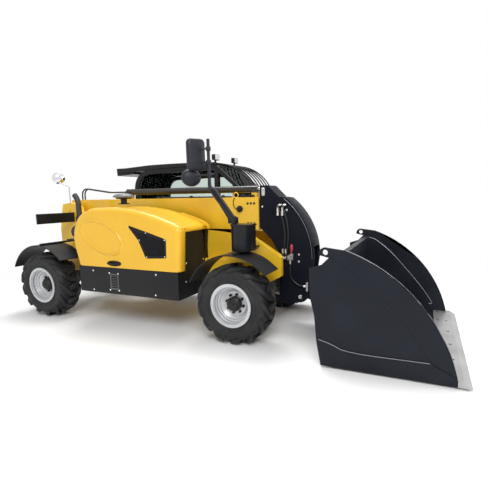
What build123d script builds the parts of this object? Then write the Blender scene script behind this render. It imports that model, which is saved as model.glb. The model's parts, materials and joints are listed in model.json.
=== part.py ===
from build123d import *
import os
from math import atan2, cos, degrees, hypot, pi, radians, sin, sqrt

# Machine frame while modelling: X forward from the rear axle, Y to the left, Z up from the ground, mm.
# Each piece is moved back by ORIGIN_X at the end, so that the origin is the bottom centre.

FIT = 0.3                 # gap between seated or turning pieces

# Running gear
WHEELBASE = 2770
TRACK_HALF = 696          # centre plane of a tyre
TYRE_R = 420              # to the tips of the lugs
TYRE_W = 305
LUGS = 13                 # on each side of a tyre
LUG_H = 34
LUG_W = 66                # along the tread, at the shoulder
LUG_SWEEP = 118           # from the shoulder to the crown
TYRE_SIDES = 2 * LUGS     # flats round the carcass
BEAD_R = 209.5
RIM_FLANGE_R = 229.5
RIM_W = TYRE_W - 33       # over the flanges
RIM_WALL = 10
FLANGE_T = 12
DISC_W = 6                # inner face of the disc, outboard of the tyre's centre
DISC_T = 14
DISH_W = 74               # where the dish meets the barrel
DISC_R = 128
HUB_R = 78
HUB_FLANGE_R = 110
HUB_OUT = 88
SPINDLE_R = 45
KINGPIN_Y = TRACK_HALF - 126
KINGPIN_R = 26
KNUCKLE_R = 50
KNUCKLE_H = 140
FORK_T = 36
AXLE_R = 66
DIFF_R = 150

# Chassis
RAIL_Y0, RAIL_Y1 = 215, 290
RAIL_Z0, RAIL_Z1 = 520, 800
REAR_X = -230
NOSE_X = WHEELBASE + 350
NOSE_TOP = (WHEELBASE - 28, 1096)
TOWER_TOP = 1470
FLOOR_T = 20
HITCH_R = 16
HITCH_X, HITCH_Z = REAR_X - 65, 620

# Boom
BOOM_Y = 150
BOOM_Z0, BOOM_Z1 = 1140, 1510
BOOM_X0, BOOM_X1 = -130, WHEELBASE + 30
BOOM_WALL = 12
PIVOT = (-60, BOOM_Z1 - 150)
PIVOT_R = 40
PAD = 14                  # wear pads between the outer and the inner boom
PAD_X = 90
INNER_X0 = 560
INNER_WALL = 10
EXT_R, EXT_ROD_R = 40, 24
EXT_Z = BOOM_Z1 + 94
EXT_X0, EXT_X1 = 770, BOOM_X1 - 60
EXT_FOOT = 70
HOSE_R = 10

# Gooseneck and its foot
NECK_X0 = BOOM_X1 + 12
NECK_Y = BOOM_Y - 20
NECK_PLATE = 30
NECK_SKIN = 22
NECK_TOP = EXT_Z + 36
NECK_BROW = (NECK_X0 + 309, BOOM_Z1 - 7)
NECK_BULGE = (NECK_X0 + 533, 1240)
NECK_FRONT = (NECK_X0 + 637, 825)
FLANGE_OUT, FLANGE_IN = 14, 18   # front flange: how far it stands out, and its thickness
FOOT = (NECK_X0 + 498, 420)
FOOT_R = 30

# Lift and tilt cylinders: base pin, rod pin, sizes
LIFT_BASE, LIFT_PIN = (330, 560), (1300, BOOM_Z0 - 65)
LIFT_R, LIFT_ROD_R = 52, 30
TILT_BASE = (NECK_X0 + 138, BOOM_Z1 - 160)
TILT_LEVER, TILT_LEVER_DEG = 200, 50
TILT_R, TILT_ROD_R = 42, 25
PIN_R = 25
EYE_R = 45
LUG_Y0, LUG_Y1 = 62, 90   # plates that carry the cylinders' pins

# Bucket, along from the foot's pin
BUCKET_HALF = 975
SIDE_T = 25
SHEET_T = 16
WEAR_T = 8
BACK_X, BACK_Z = FOOT[0] + 435, 300
BACK_TOP = (FOOT[0] + 568, 983)
HEEL_X = FOOT[0] + 442
LIP_X, LIP_Z = FOOT[0] + 1645, 22
LIP_T = 8
FLOOR_Z = LIP_Z - 4
EYE_HOLE = (FOOT[0] + 473, 1036)
EYE_HOLE_R = 24
EDGE_T = 30
EDGE_DEPTH = 250
EDGE_AHEAD = 105          # the edge's front part, ahead of the bucket's floor
EDGE_OVER = 13.5          # past the side plates
EDGE_HOLE_R = 12
EDGE_HOLES = 9            # in each of two rows
STIFFENER = 44
COUPLER_Y = 260
COUPLER_T = 30
TUBE_R = 38
TUBE_TOP, TUBE_LOW = (FOOT[0] + 480, 860), (FOOT[0] + 340, 335)

# Engine pod on the right
POD_Y0, POD_Y1 = -840, -RAIL_Y1 - FIT
POD_X0, POD_X1 = 611, WHEELBASE - 555
POD_SPLIT_Z = 728
SKIRT_Z = 415
SKIRT_IN = 6              # skirt behind the hood's face
HOOD_WALL = 22
HOOD_ROUND = 46           # outer edge of the moulding
HOOD_CREST = ((POD_X0 + 340, 1415), (POD_X0 + 949, 1428), (POD_X1 - 103, 1246))
HOOD_BROW = (POD_X1 - 10, 1190)
FRONT_LIP = 40
HOOD_PIN_R = 8
HINGE_R = 14
HINGE_L = 40
HOOD_HINGE = (POD_Y1 - HINGE_R + FIT, 1366)
HOOD_HINGES = (POD_X0 + 399, POD_X1 - 625)
GRILLE = ((POD_X1 - 719, 1229), (POD_X1 - 195, 1079), (POD_X1 - 203, 875), (POD_X1 - 479, 861), (POD_X1 - 568, 1057))
GRILLE_EDGE = 26
SLAT, SLOT = 9, 12
OVAL = (POD_X0 + 506, 1076)
OVAL_A, OVAL_B, OVAL_DEG = 335, 190, -33
OVAL_W, OVAL_H = 26, 9
BAY_X0, BAY_X1 = POD_X0 + 101, POD_X1 - 65
LOUVRE_X, LOUVRE_Z = (POD_X0 + 574, POD_X0 + 706), (465, 655)
LOUVRE_SLOTS = 8
PRE_CLEANER = (POD_X0 + 554, -500)
CLEANER_FLANGE = 70

# Cab on the left
CAB_Y0, CAB_Y1 = 195, 840
CAB_X0, CAB_X1 = 700, WHEELBASE - 270
CAB_FLOOR_Z = 600
CAB_ROOF_Z = 1950
CAB_SILL_Z = 1180
CAB_TOE_X = CAB_X1 - 250
POST = 50
GLASS_T = 8
DOOR_T = 40
DOOR_X0, DOOR_X1 = CAB_X0 + 90, CAB_X1 - 470
DOOR_GAP = 5
DOOR_SASH = 60
DOOR_HINGES = (860, CAB_ROOF_Z - 440)
DOOR_PIN_R = 6
SHELF_Z = RAIL_Z1 + 8     # cab floor over the rail
GUARD_BARS = 7
GUARD_R = 9
GUARD_LOW = (CAB_X1 + 60, CAB_ROOF_Z - 320)
LAMP_X = DOOR_X1 - 20

# Mudguards and what stands on them
FENDER_R, FENDER_T = TYRE_R + 92, 12
FENDER_BACK, FENDER_AHEAD = 65, 38
FENDER_FLAP = 100
FENDER_Y0, FENDER_Y1 = TRACK_HALF - 196, TRACK_HALF + 144
STAY_R = 13
STAY_Z = TYRE_R + FENDER_R + FENDER_T + STAY_R - 4
CANISTER_X, CANISTER_Y = WHEELBASE + 60, -640
CANISTER_R = 110
CANISTER_Z0 = STAY_Z + STAY_R + FIT
CANISTER_Z1 = CANISTER_Z0 + 257
LID_T = 18
MIRROR_Y = -720
MIRROR_TURN = -38
POLE_X = WHEELBASE - 254
REAR_MIRROR = (REAR_X + 15, -262, TOWER_TOP + 345)
BOARD_X, BOARD_Z = 40, 1210

# Travel of the joints, in degrees and in mm
STEER_DEG = 30
LIFT_DEG = 62
TELESCOPE = 1800
CROWD_DEG, DUMP_DEG = -30, 90
HOOD_DEG = 65
DOOR_DEG = 85

ORIGIN_X = (LIP_X - (FENDER_R + FENDER_T) * sin(radians(FENDER_BACK))) / 2
AXLES = {"front": WHEELBASE, "rear": 0}
SIDES = {"left": 1, "right": -1}
UP = (Align.CENTER, Align.CENTER, Align.MIN)


def outline(y, start, *steps):
    """Closed face in the X-Z plane at y; a step is a line's end or an arc's (middle, end)."""
    edges, here = [], start
    for step in steps:
        arc = isinstance(step[0], tuple)
        end = step[1] if arc else step
        ends = [(here[0], y, here[1]), (end[0], y, end[1])]
        if arc:
            edges.append(ThreePointArc(ends[0], (step[0][0], y, step[0][1]), ends[1]))
        else:
            edges.append(Line(*ends))
        here = end
    if here != start:
        edges.append(Line((here[0], y, here[1]), (start[0], y, start[1])))
    return make_face(edges)


def across(face, depth):
    """Face of the X-Z plane carried along Y."""
    return extrude(face, amount=depth, dir=(0, 1, 0))


def slab(y0, y1, start, *steps):
    """Side outline carried across from y0 to y1."""
    low, high = sorted((y0, y1))
    return across(outline(low, start, *steps), high - low)


def block(x0, x1, y0, y1, z0, z1):
    """Plain box between corners."""
    y0, y1 = sorted((y0, y1))
    return Pos((x0 + x1) / 2, (y0 + y1) / 2, (z0 + z1) / 2) * Box(x1 - x0, y1 - y0, z1 - z0)


def bar(p, q, r):
    """Round bar from p to q."""
    p, q = Vector(p), Vector(q)
    return Plane(origin=p, z_dir=q - p) * Cylinder(r, (q - p).length, align=UP)


def cross(x, z, y0, y1, r):
    """Round bar along Y."""
    return bar((x, min(y0, y1), z), (x, max(y0, y1), z), r)


def post(x, y, z0, z1, r):
    """Round bar along Z."""
    return Pos(x, y, z0) * Cylinder(r, z1 - z0, align=UP)


def turned(side, *points):
    """Solid of revolution about Y from (radius, offset) points; offsets point outboard on each side."""
    return revolve(make_face(Polyline(*[(r, side * w) for r, w in points], close=True)), Axis.Y)


def hose(path, r):
    """Round hose along a path of lines and arcs."""
    return sweep(Plane(path @ 0, z_dir=path % 0) * Circle(r), path=path)


def circle_through(a, b, c):
    """Centre and radius of the circle through three points."""
    (ax, az), (bx, bz), (cx, cz) = a, b, c
    d = 2 * (ax * (bz - cz) + bx * (cz - az) + cx * (az - bz))
    a2, b2, c2 = ax * ax + az * az, bx * bx + bz * bz, cx * cx + cz * cz
    x = (a2 * (bz - cz) + b2 * (cz - az) + c2 * (az - bz)) / d
    z = (a2 * (cx - bx) + b2 * (ax - cx) + c2 * (bx - ax)) / d
    return (x, z), hypot(ax - x, az - z)


def towards(point, goal, distance):
    """Point moved by a distance towards a goal."""
    share = distance / hypot(goal[0] - point[0], goal[1] - point[1])
    return (point[0] + share * (goal[0] - point[0]), point[1] + share * (goal[1] - point[1]))


def frame_of(base, pin):
    """Plane whose Z runs from a cylinder's base pin to its rod pin."""
    return Plane(origin=(base[0], 0, base[1]), x_dir=(0, 1, 0), z_dir=(pin[0] - base[0], 0, pin[1] - base[1]))


def lever_pin():
    """Rod pin of the tilt cylinder at rest."""
    return (FOOT[0] + TILT_LEVER * cos(radians(TILT_LEVER_DEG)), FOOT[1] + TILT_LEVER * sin(radians(TILT_LEVER_DEG)))


def carcass():
    """Tyre carcass between the lugs, in flats round the wheel, seated on the rim between its flanges."""
    half, seat = TYRE_W / 2, RIM_W / 2 - FLANGE_T - FIT
    tread = TYRE_R - LUG_H
    rings = [(seat, RIM_FLANGE_R + 16), (half - 3, tread - 34), (half - 24, tread)]
    rings = [(-w, r) for w, r in rings] + [(w, r) for w, r in reversed(rings)]
    flats = [Plane(origin=(0, w, 0), x_dir=(1, 0, 0), z_dir=(0, 1, 0)) * RegularPolygon(r, TYRE_SIDES)
             for w, r in rings]
    body = loft(flats, ruled=True)
    bore = Plane(origin=(0, -half, 0), x_dir=(1, 0, 0), z_dir=(0, 1, 0)) * RegularPolygon(
        BEAD_R + FIT, TYRE_SIDES, major_radius=False)
    return body - across(bore, TYRE_W)


def lug():
    """Bent lug from the shoulder to just past the crown, at the top of the wheel, with its tips at TYRE_R."""
    half, ahead = TYRE_W / 2, LUG_SWEEP
    knee, crown = half - 62, -14
    plan = [(-LUG_W / 2, half), (LUG_W / 2, half), (LUG_W / 2 + 12, knee), (ahead, crown), (ahead - 48, crown),
            (-LUG_W / 2 + 8, knee)]
    middle = (ahead - LUG_W / 2) / 2
    plan = [(x - middle, w) for x, w in plan]
    tip = max(abs(x) for x, w in plan)
    top = sqrt(TYRE_R ** 2 - tip ** 2)
    base = TYRE_R - LUG_H - 50
    face = make_face(Polyline(*[(x, w, base) for x, w in plan], close=True))
    return extrude(face, amount=top - base, dir=(0, 0, 1)), degrees(atan2(tip, top))


def tyre(side):
    """Tyre with a row of lugs each side of the crown, half a pitch apart, standing on a lug's tip."""
    one, tip_deg = lug()
    other = mirror(one, Plane.XZ)
    body, pitch = carcass(), 360 / LUGS
    for i in range(LUGS):
        turn = 180 - tip_deg + i * pitch
        body += Rot(0, turn, 0) * one + Rot(0, turn + pitch / 2, 0) * other
    return body if side > 0 else mirror(body, Plane.XZ)


def rim(side):
    """Flanged barrel with a deep dished disc."""
    h, inner = RIM_W / 2, BEAD_R - RIM_WALL
    return turned(side, (RIM_FLANGE_R, -h), (RIM_FLANGE_R, FLANGE_T - h), (BEAD_R, FLANGE_T - h),
                  (BEAD_R, h - FLANGE_T), (RIM_FLANGE_R, h - FLANGE_T), (RIM_FLANGE_R, h), (inner, h),
                  (inner, DISH_W), (DISC_R, DISC_W + DISC_T), (HUB_R + FIT, DISC_W + DISC_T),
                  (HUB_R + FIT, DISC_W), (DISC_R, DISC_W), (inner, DISH_W - 1.4 * DISC_T), (inner, -h))


def hub(side):
    """Planetary hub: flange behind the disc, drum through it, blind bore for the spindle."""
    bore = SPINDLE_R + FIT
    return turned(side, (bore, -60), (HUB_R - 4, -60), (HUB_R - 4, DISC_W - 18), (HUB_FLANGE_R, DISC_W - 18),
                  (HUB_FLANGE_R, DISC_W - FIT), (HUB_R, DISC_W - FIT), (HUB_R, HUB_OUT - 22),
                  (HUB_R - 22, HUB_OUT), (0, HUB_OUT), (0, 40), (bore, 40))


def knuckle(x, side):
    """Kingpin barrel with its spindle."""
    y = side * KINGPIN_Y
    pin = KNUCKLE_H / 2 + FORK_T
    body = Pos(x, y, TYRE_R) * Cylinder(KNUCKLE_R, KNUCKLE_H)
    body += Pos(x, y, TYRE_R) * Cylinder(KINGPIN_R, 2 * pin)
    body += cross(x, TYRE_R, y, side * (TRACK_HALF - 66), SPINDLE_R + 13)
    return body + cross(x, TYRE_R, y, side * (TRACK_HALF + 38), SPINDLE_R)


def axle(x):
    """Driven steering axle: differential, tubes, kingpin forks and the pads under the rails."""
    z, end = TYRE_R, KINGPIN_Y - KNUCKLE_R - 28
    gap = KNUCKLE_H / 2 + FIT
    body = cross(x, z, -end, end, AXLE_R)
    body += Pos(x, 0, z) * turned(1, (0, -150), (AXLE_R, -150), (DIFF_R, -70), (DIFF_R, 70), (AXLE_R, 150), (0, 150))
    for s in SIDES.values():
        body += block(x - 52, x + 52, s * (end - 30), s * (end + 12), z - gap - FORK_T, z + gap + FORK_T)
        body += block(x - 80, x + 80, s * RAIL_Y0, s * RAIL_Y1, z, RAIL_Z0)
        for up in (1, -1):
            arm = block(x - 46, x + 46, s * end, s * KINGPIN_Y, z + up * gap - (0 if up > 0 else FORK_T),
                        z + up * gap + (FORK_T if up > 0 else 0))
            boss = Pos(x, s * KINGPIN_Y, z + up * (gap + FORK_T / 2)) * Cylinder(46, FORK_T)
            body += arm + boss
        body -= Pos(x, s * KINGPIN_Y, z) * Cylinder(KINGPIN_R + FIT, 2 * (gap + FORK_T) + 2)
    return body


def chassis_rail(side):
    """Deep side rail that rises to the boom tower behind and to the nose in front."""
    rail = slab(side * RAIL_Y0, side * RAIL_Y1, (REAR_X, RAIL_Z0), (NOSE_X - 220, RAIL_Z0), (NOSE_X, 638),
                (NOSE_X, 852), (NOSE_X - 28, 882), NOSE_TOP, (NOSE_TOP[0] - 182, NOSE_TOP[1]),
                (NOSE_TOP[0] - 302, RAIL_Z1), (480, RAIL_Z1), (330, 960), (150, TOWER_TOP - 50),
                ((60, TOWER_TOP - 8), (-30, TOWER_TOP)), (-150, TOWER_TOP - 20), (REAR_X, 1120))
    return rail - cross(*PIVOT, side * (RAIL_Y0 - 1), side * (RAIL_Y1 + 1), PIVOT_R + FIT)


def chassis_frame():
    """Floor, cross plates and hitch between the two rails, with the lift cylinder's lugs."""
    inner, (x, z) = RAIL_Y0, LIFT_BASE
    front = WHEELBASE - DIFF_R - 10
    body = block(200, front - 120, -inner, inner, RAIL_Z0, RAIL_Z0 + FLOOR_T)
    body += block(front - 140, front, -inner, inner, RAIL_Z0, RAIL_Z1 - 40)
    body -= block(x - 95, x + 130, -LUG_Y0, LUG_Y0, RAIL_Z0 - 1, RAIL_Z0 + FLOOR_T + 1)
    for s in SIDES.values():
        body += slab(s * LUG_Y0, s * LUG_Y1, (x - 90, RAIL_Z0), (x + 90, RAIL_Z0), (x + 45, z + 55), (x - 45, z + 55))
    body += cross(x, z, -LUG_Y1 - 10, LUG_Y1 + 10, PIN_R)
    rear = block(REAR_X, REAR_X + 25, -inner, inner, RAIL_Z0, 1020)
    for low in (HITCH_Z - 60, HITCH_Z + 30):
        rear += block(REAR_X - 110, REAR_X, -60, 60, low, low + 30)
    rear -= Pos(HITCH_X, 0, HITCH_Z) * Cylinder(HITCH_R, 160)
    return Compound([*body.solids(), *rear.solids()])


def outer_boom():
    """Box tube with its pivot pin, front wear pads and the lugs of the lift cylinder."""
    w, g, (x, z) = BOOM_WALL, BOOM_WALL + PAD - FIT, LIFT_PIN
    body = block(BOOM_X0, BOOM_X1, -BOOM_Y, BOOM_Y, BOOM_Z0, BOOM_Z1)
    body -= block(BOOM_X0 + 260, BOOM_X1 + 1, w - BOOM_Y, BOOM_Y - w, BOOM_Z0 + w, BOOM_Z1 - w)
    mouth = block(BOOM_X1 - PAD_X, BOOM_X1, w - BOOM_Y, BOOM_Y - w, BOOM_Z0 + w, BOOM_Z1 - w)
    body += mouth - block(BOOM_X1 - PAD_X - 1, BOOM_X1 + 1, g - BOOM_Y, BOOM_Y - g, BOOM_Z0 + g, BOOM_Z1 - g)
    body += cross(*PIVOT, -RAIL_Y0 + FIT, RAIL_Y0 - FIT, 2 * PIVOT_R + 2)
    body += cross(*PIVOT, -RAIL_Y1 - 12, RAIL_Y1 + 12, PIVOT_R)
    for s in SIDES.values():
        plate = slab(s * LUG_Y0, s * LUG_Y1, (x - 130, BOOM_Z0), (x - 55, z - 30), ((x, z - 60), (x + 55, z - 30)),
                     (x + 130, BOOM_Z0))
        body += plate - cross(x, z, s * LUG_Y0 - 40, s * LUG_Y1 + 40, PIN_R)
    for foot in (EXT_X0, EXT_X1 - EXT_FOOT):
        body += block(foot, foot + EXT_FOOT, -EXT_R - 12, EXT_R + 12, BOOM_Z1, EXT_Z - EXT_R - FIT)
    return body


def boom_hoses():
    """Two hoses that arch from the boom's rear end to the foot of the extension cylinder."""
    hoses = []
    for y in (-22, 22):
        path = FilletPolyline((-60, y, BOOM_Z1 + FIT), (-60, y, BOOM_Z1 + 165), (460, y, EXT_Z),
                              (EXT_X0 - FIT, y, EXT_Z), radius=90)
        hoses += hose(path, HOSE_R).solids()
    return Compound(hoses)


def extension_barrel():
    """Barrel of the extension cylinder, along the top of the boom."""
    tube = bar((EXT_X0, 0, EXT_Z), (EXT_X1, 0, EXT_Z), EXT_R)
    for x in (EXT_X0, EXT_X1 - EXT_FOOT):
        tube += block(x, x + EXT_FOOT, -EXT_R - 12, EXT_R + 12, EXT_Z - EXT_R - FIT, EXT_Z)
    return tube - bar((EXT_X0 + 60, 0, EXT_Z), (EXT_X1 + 1, 0, EXT_Z), EXT_ROD_R + FIT)


def extension_rod():
    """Rod that pushes the gooseneck out."""
    return bar((EXT_X0 + 80, 0, EXT_Z), (NECK_X0, 0, EXT_Z), EXT_ROD_R)


def inner_boom():
    """Inner box tube, with wear pads round its rear end."""
    g, p, w = BOOM_WALL + PAD, BOOM_WALL + FIT, BOOM_WALL + PAD + INNER_WALL
    body = block(INNER_X0, NECK_X0, g - BOOM_Y, BOOM_Y - g, BOOM_Z0 + g, BOOM_Z1 - g)
    body += block(INNER_X0, INNER_X0 + PAD_X, p - BOOM_Y, BOOM_Y - p, BOOM_Z0 + p, BOOM_Z1 - p)
    return body - block(INNER_X0 - 1, NECK_X0 - 20, w - BOOM_Y, BOOM_Y - w, BOOM_Z0 + w, BOOM_Z1 - w)


def gooseneck():
    """Bent box at the end of the inner boom: closed above, open below where the tilt rod and its lever swing."""
    x, foot, s, inner = NECK_X0, FOOT[0], NECK_SKIN, NECK_Y - NECK_PLATE
    body = slab(-NECK_Y, NECK_Y, (x, BOOM_Z0 + 20), (x, NECK_TOP), (x + 100, NECK_TOP), (x + 230, BOOM_Z1 + 3),
                NECK_BROW, (NECK_BULGE, NECK_FRONT), (foot + 82, FOOT[1]), ((foot + 40, 345), (foot - 40, 318)),
                (foot - 138, 299), (foot - 282, 296), (foot - 245, 834), (x + 139, 1024))
    body -= slab(-inner, inner, (x + s, BOOM_Z0 + 10), (x + s, BOOM_Z1 - 32), (x + 300, BOOM_Z1 - 32),
                 ((x + 511, 1234), (x + 606, 960)), (x + 788, 960), (x + 788, 200), (foot - 290 + s, 200),
                 (foot - 282 + s, 296), (foot - 245 + s, 838), (x + 139 + s, 1030))
    centre, _ = circle_through(NECK_BROW, NECK_BULGE, NECK_FRONT)
    low, mid, top = (towards(p, centre, FLANGE_IN) for p in (NECK_FRONT, NECK_BULGE, NECK_BROW))
    for side in SIDES.values():
        body += slab(side * (NECK_Y - 1), side * (NECK_Y + FLANGE_OUT), NECK_BROW, (NECK_BULGE, NECK_FRONT), low,
                     (mid, top))
    body += cross(*FOOT, -NECK_Y - 14, NECK_Y + 14, FOOT_R)
    return body + cross(*TILT_BASE, -NECK_Y - 10, NECK_Y + 10, PIN_R)


def neck_hoses():
    """Two pressure hoses down the gooseneck's right side, and the loop to the hitch, each with its end fittings."""
    y, plate, (fx, fz) = -NECK_Y - 20, -NECK_Y - FIT, FOOT
    pieces = []
    for top, mid, low in ((NECK_X0 + 224, NECK_X0 + 305, fx - 218), (NECK_X0 + 278, NECK_X0 + 345, fx - 182)):
        head, tail = BOOM_Z1 - 105, fz + 440
        line = hose(ThreePointArc((top, y, head), (mid, y, (head + tail) / 2 - 10), (low, y, tail)), HOSE_R)
        line += cross(top, head, plate, y - 14, 14) + cross(low, tail, plate, y - 14, 14)
        pieces += line.solids()
    head, tail = fz + 415, fz + 97
    loop = hose(FilletPolyline((fx - 129, y, head), (fx - 129, y, tail), (fx + 66, y, tail), radius=150), HOSE_R)
    loop += block(fx - 149, fx - 109, plate, y - 14, head - 18, head + 18) + cross(fx + 66, tail, plate, y - 14, 14)
    return Compound(pieces + loop.solids())


def cylinder_barrel(base, pin, r, rod_r, gland, bore_end):
    """Cylinder barrel with its base eye; gland and bore_end are distances from the base pin."""
    eye = Rot(0, 90, 0)
    body = Pos(0, 0, EYE_R - 12) * Cylinder(r, gland - EYE_R + 12, align=UP)
    body += Pos(0, 0, gland - 45) * Cylinder(r + 8, 45, align=UP)
    body += eye * Cylinder(EYE_R, 2 * LUG_Y0 - 10)
    body -= eye * Cylinder(PIN_R + FIT, 2 * LUG_Y0)
    body -= Pos(0, 0, bore_end) * Cylinder(rod_r + FIT, gland - bore_end + 1, align=UP)
    return frame_of(base, pin) * body


def cylinder_rod(base, pin, rod_r, inner_end):
    """Cylinder rod from its inner end to the open eye at the pin."""
    length = hypot(pin[0] - base[0], pin[1] - base[1])
    eye = Pos(0, 0, length) * Rot(0, 90, 0)
    body = Pos(0, 0, inner_end) * Cylinder(rod_r, length - inner_end, align=UP)
    body += eye * Cylinder(EYE_R, 2 * LUG_Y0 - 10)
    return frame_of(base, pin) * (body - eye * Cylinder(PIN_R + 1, 2 * LUG_Y0))


def back_x(z):
    """Rear face of the bucket's back plate at height z."""
    return BACK_X + (z - BACK_Z) * (BACK_TOP[0] - BACK_X) / (BACK_TOP[1] - BACK_Z)


def bucket():
    """Bent sheet with a stiffened top between two shaped side plates, which carry the lifting eyes and wear plates."""
    t, x, inner, front = SHEET_T, FOOT[0], BUCKET_HALF - SIDE_T, LIP_X - EDGE_AHEAD
    top, low = BACK_TOP[1], BACK_TOP[1] - STIFFENER
    body = slab(-inner, inner, BACK_TOP, (BACK_X, BACK_Z), ((x + 468, 108), (x + 580, FLOOR_Z)), (front, FLOOR_Z),
                (front, FLOOR_Z + t), (x + 582, FLOOR_Z + t), ((x + 481, 117), (BACK_X + t, BACK_Z - 2)),
                (BACK_TOP[0] + t, top))
    body += slab(-inner, inner, (back_x(top) + 2, top), (back_x(top) - STIFFENER, top),
                 (back_x(low) - STIFFENER, low), (back_x(low) + 2, low))
    for s in SIDES.values():
        plate = slab(s * inner, s * BUCKET_HALF, (HEEL_X, FLOOR_Z), (front, FLOOR_Z), (front - 3, 80),
                     ((x + 1220, 680), (x + 648, 1057)), (x + 490, 1075), ((x + 432, 1062), (x + 416, 1012)),
                     (x + 504, 991), (x + 439, 926), (x + 332, 889), (x + 337, 643), (x + 379, 465), (x + 398, 245))
        body += plate - cross(*EYE_HOLE, s * inner - 40, s * BUCKET_HALF + 40, EYE_HOLE_R)
        body += slab(s * (BUCKET_HALF - 1), s * (BUCKET_HALF + WEAR_T), (HEEL_X, FLOOR_Z), (front, FLOOR_Z),
                     (front - 3, 80), (x + 1334, 179), (x + 666, 169), (x + 542, 228), (x + 421, 258), (x + 403, 225))
    return body


def cutting_edge():
    """Bolt-on steel edge with two rows of bolt holes, bevelled to the lip and wider than the bucket."""
    seat_z, top = FLOOR_Z + SHEET_T + FIT, FLOOR_Z + SHEET_T + EDGE_T
    front, rear, inner = LIP_X - EDGE_AHEAD + FIT, LIP_X - EDGE_DEPTH, BUCKET_HALF - SIDE_T - FIT
    body = slab(-inner, inner, (rear, seat_z), (front, seat_z), (front, FLOOR_Z), (LIP_X, FLOOR_Z),
                (LIP_X, FLOOR_Z + LIP_T), (LIP_X - 60, top), (rear, top))
    for s in SIDES.values():
        body += slab(s * inner, s * (BUCKET_HALF + EDGE_OVER), (front, FLOOR_Z), (LIP_X, FLOOR_Z),
                     (LIP_X, FLOOR_Z + LIP_T), (LIP_X - 60, top), (front, top))
    pitch = 2 * (inner - 90) / (EDGE_HOLES - 1)
    for x in (front - 28, rear + 34):
        for i in range(EDGE_HOLES):
            body -= post(x, i * pitch - inner + 90, seat_z + 3, top + 1, EDGE_HOLE_R)
    return body


def coupler():
    """Quick hitch between the gooseneck's foot and the bucket: levers, cross tubes and hook plates."""
    e, (x, z), reach = lever_pin(), FOOT, COUPLER_Y + COUPLER_T
    body = cross(*TUBE_TOP, -reach, reach, TUBE_R) + cross(*TUBE_LOW, -reach, reach, TUBE_R)
    for s in SIDES.values():
        lever = slab(s * LUG_Y0, s * LUG_Y1, (x - 42, z - 20), (x, z - 48), (x + 330, 292), (x + 382, 335),
                     (x + 522, 850), (x + 480, 904), (x + 428, 848), (x + 290, 665), (e[0] + 30, e[1] + 48),
                     (e[0] - 28, e[1] + 46), (x - 40, z + 30))
        lever -= cross(*e, s * LUG_Y0 - 40, s * LUG_Y1 + 40, PIN_R)
        boss = cross(*FOOT, s * LUG_Y0, s * (NECK_Y - NECK_PLATE - 5), 70)
        body += (lever + boss) - cross(*FOOT, s * 20, s * NECK_Y, FOOT_R + FIT)
        body += slab(s * COUPLER_Y, s * reach, (x + 295, BACK_Z), (BACK_X - FIT, BACK_Z), (back_x(910) - FIT, 910),
                     (x + 435, 910), (x + 302, 480))
    return body


def hood_top(x):
    """Height of the hood's crest at x."""
    (mx, mz), r = circle_through(*HOOD_CREST)
    return mz + sqrt(r * r - (x - mx) ** 2)


def pod_profile(y, inset=0):
    """Moulded side outline of the engine hood, carried a little below its bottom edge."""
    low = POD_SPLIT_Z - 2 * HOOD_ROUND
    face = outline(y, (POD_X0 + 94, low), (POD_X0, 1087), ((POD_X0 + 79, 1322), HOOD_CREST[0]), HOOD_CREST[1:],
                   HOOD_BROW, (POD_X1 - 40, low))
    return offset(face, amount=-inset, kind=Kind.INTERSECTION) if inset else face


def pod_shell(inset=0):
    """Hood form with its outer edge rounded off in steps, at a distance inside the skin."""
    y, r = POD_Y0 + HOOD_ROUND, HOOD_ROUND - inset
    body = across(pod_profile(y, inset), POD_Y1 - y)
    rings = [pod_profile(y - r * sin(a), inset + r * (1 - cos(a))) for a in (0, pi / 6, pi / 3, pi / 2)]
    for wide, narrow in zip(rings, rings[1:]):
        body += loft([wide, narrow], ruled=True)
    return body


def oval_face(y, a, b):
    """Oval of the hood's side, in eight arcs, tilted about its middle."""
    def at(i):
        u, w, turn = a * cos(i * pi / 8), b * sin(i * pi / 8), radians(OVAL_DEG)
        return (OVAL[0] + u * cos(turn) - w * sin(turn), OVAL[1] + u * sin(turn) + w * cos(turn))
    arcs = [(at(2 * i + 1), at(2 * i + 2)) for i in range(7)]
    return outline(y, at(0), *arcs, (at(15), at(0)))


def hood():
    """Moulded hood over the engine, open below, in front and towards the boom, on its hinge knuckles."""
    form = pod_shell()
    body = form - pod_shell(HOOD_WALL)
    body -= block(POD_X0 - 1, POD_X1 + 1, POD_Y0 - 1, POD_Y1 + 1, POD_SPLIT_Z - 200, POD_SPLIT_Z)
    body -= block(POD_X1 - 120, POD_X1 + 1, POD_Y0 + FRONT_LIP, POD_Y1 + 1, POD_SPLIT_Z - 1, HOOD_BROW[1] - 80)
    body -= slab(POD_Y0 - 1, POD_Y0 + HOOD_WALL + 1, *GRILLE)
    y = POD_Y0 - OVAL_H
    body += across(oval_face(y, OVAL_A, OVAL_B) - oval_face(y, OVAL_A - OVAL_W, OVAL_B - OVAL_W), OVAL_H + 2)
    y, z = HOOD_HINGE
    for x in HOOD_HINGES:
        end = x + HINGE_L + FIT
        leaf = block(end, end + HINGE_L, y - HINGE_R, y, z, z + 54) & form
        body += bar((end, y, z), (end + HINGE_L, y, z), HINGE_R) + leaf
        body += bar((x, y, z), (end + HINGE_L, y, z), HOOD_PIN_R)
    return body


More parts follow.
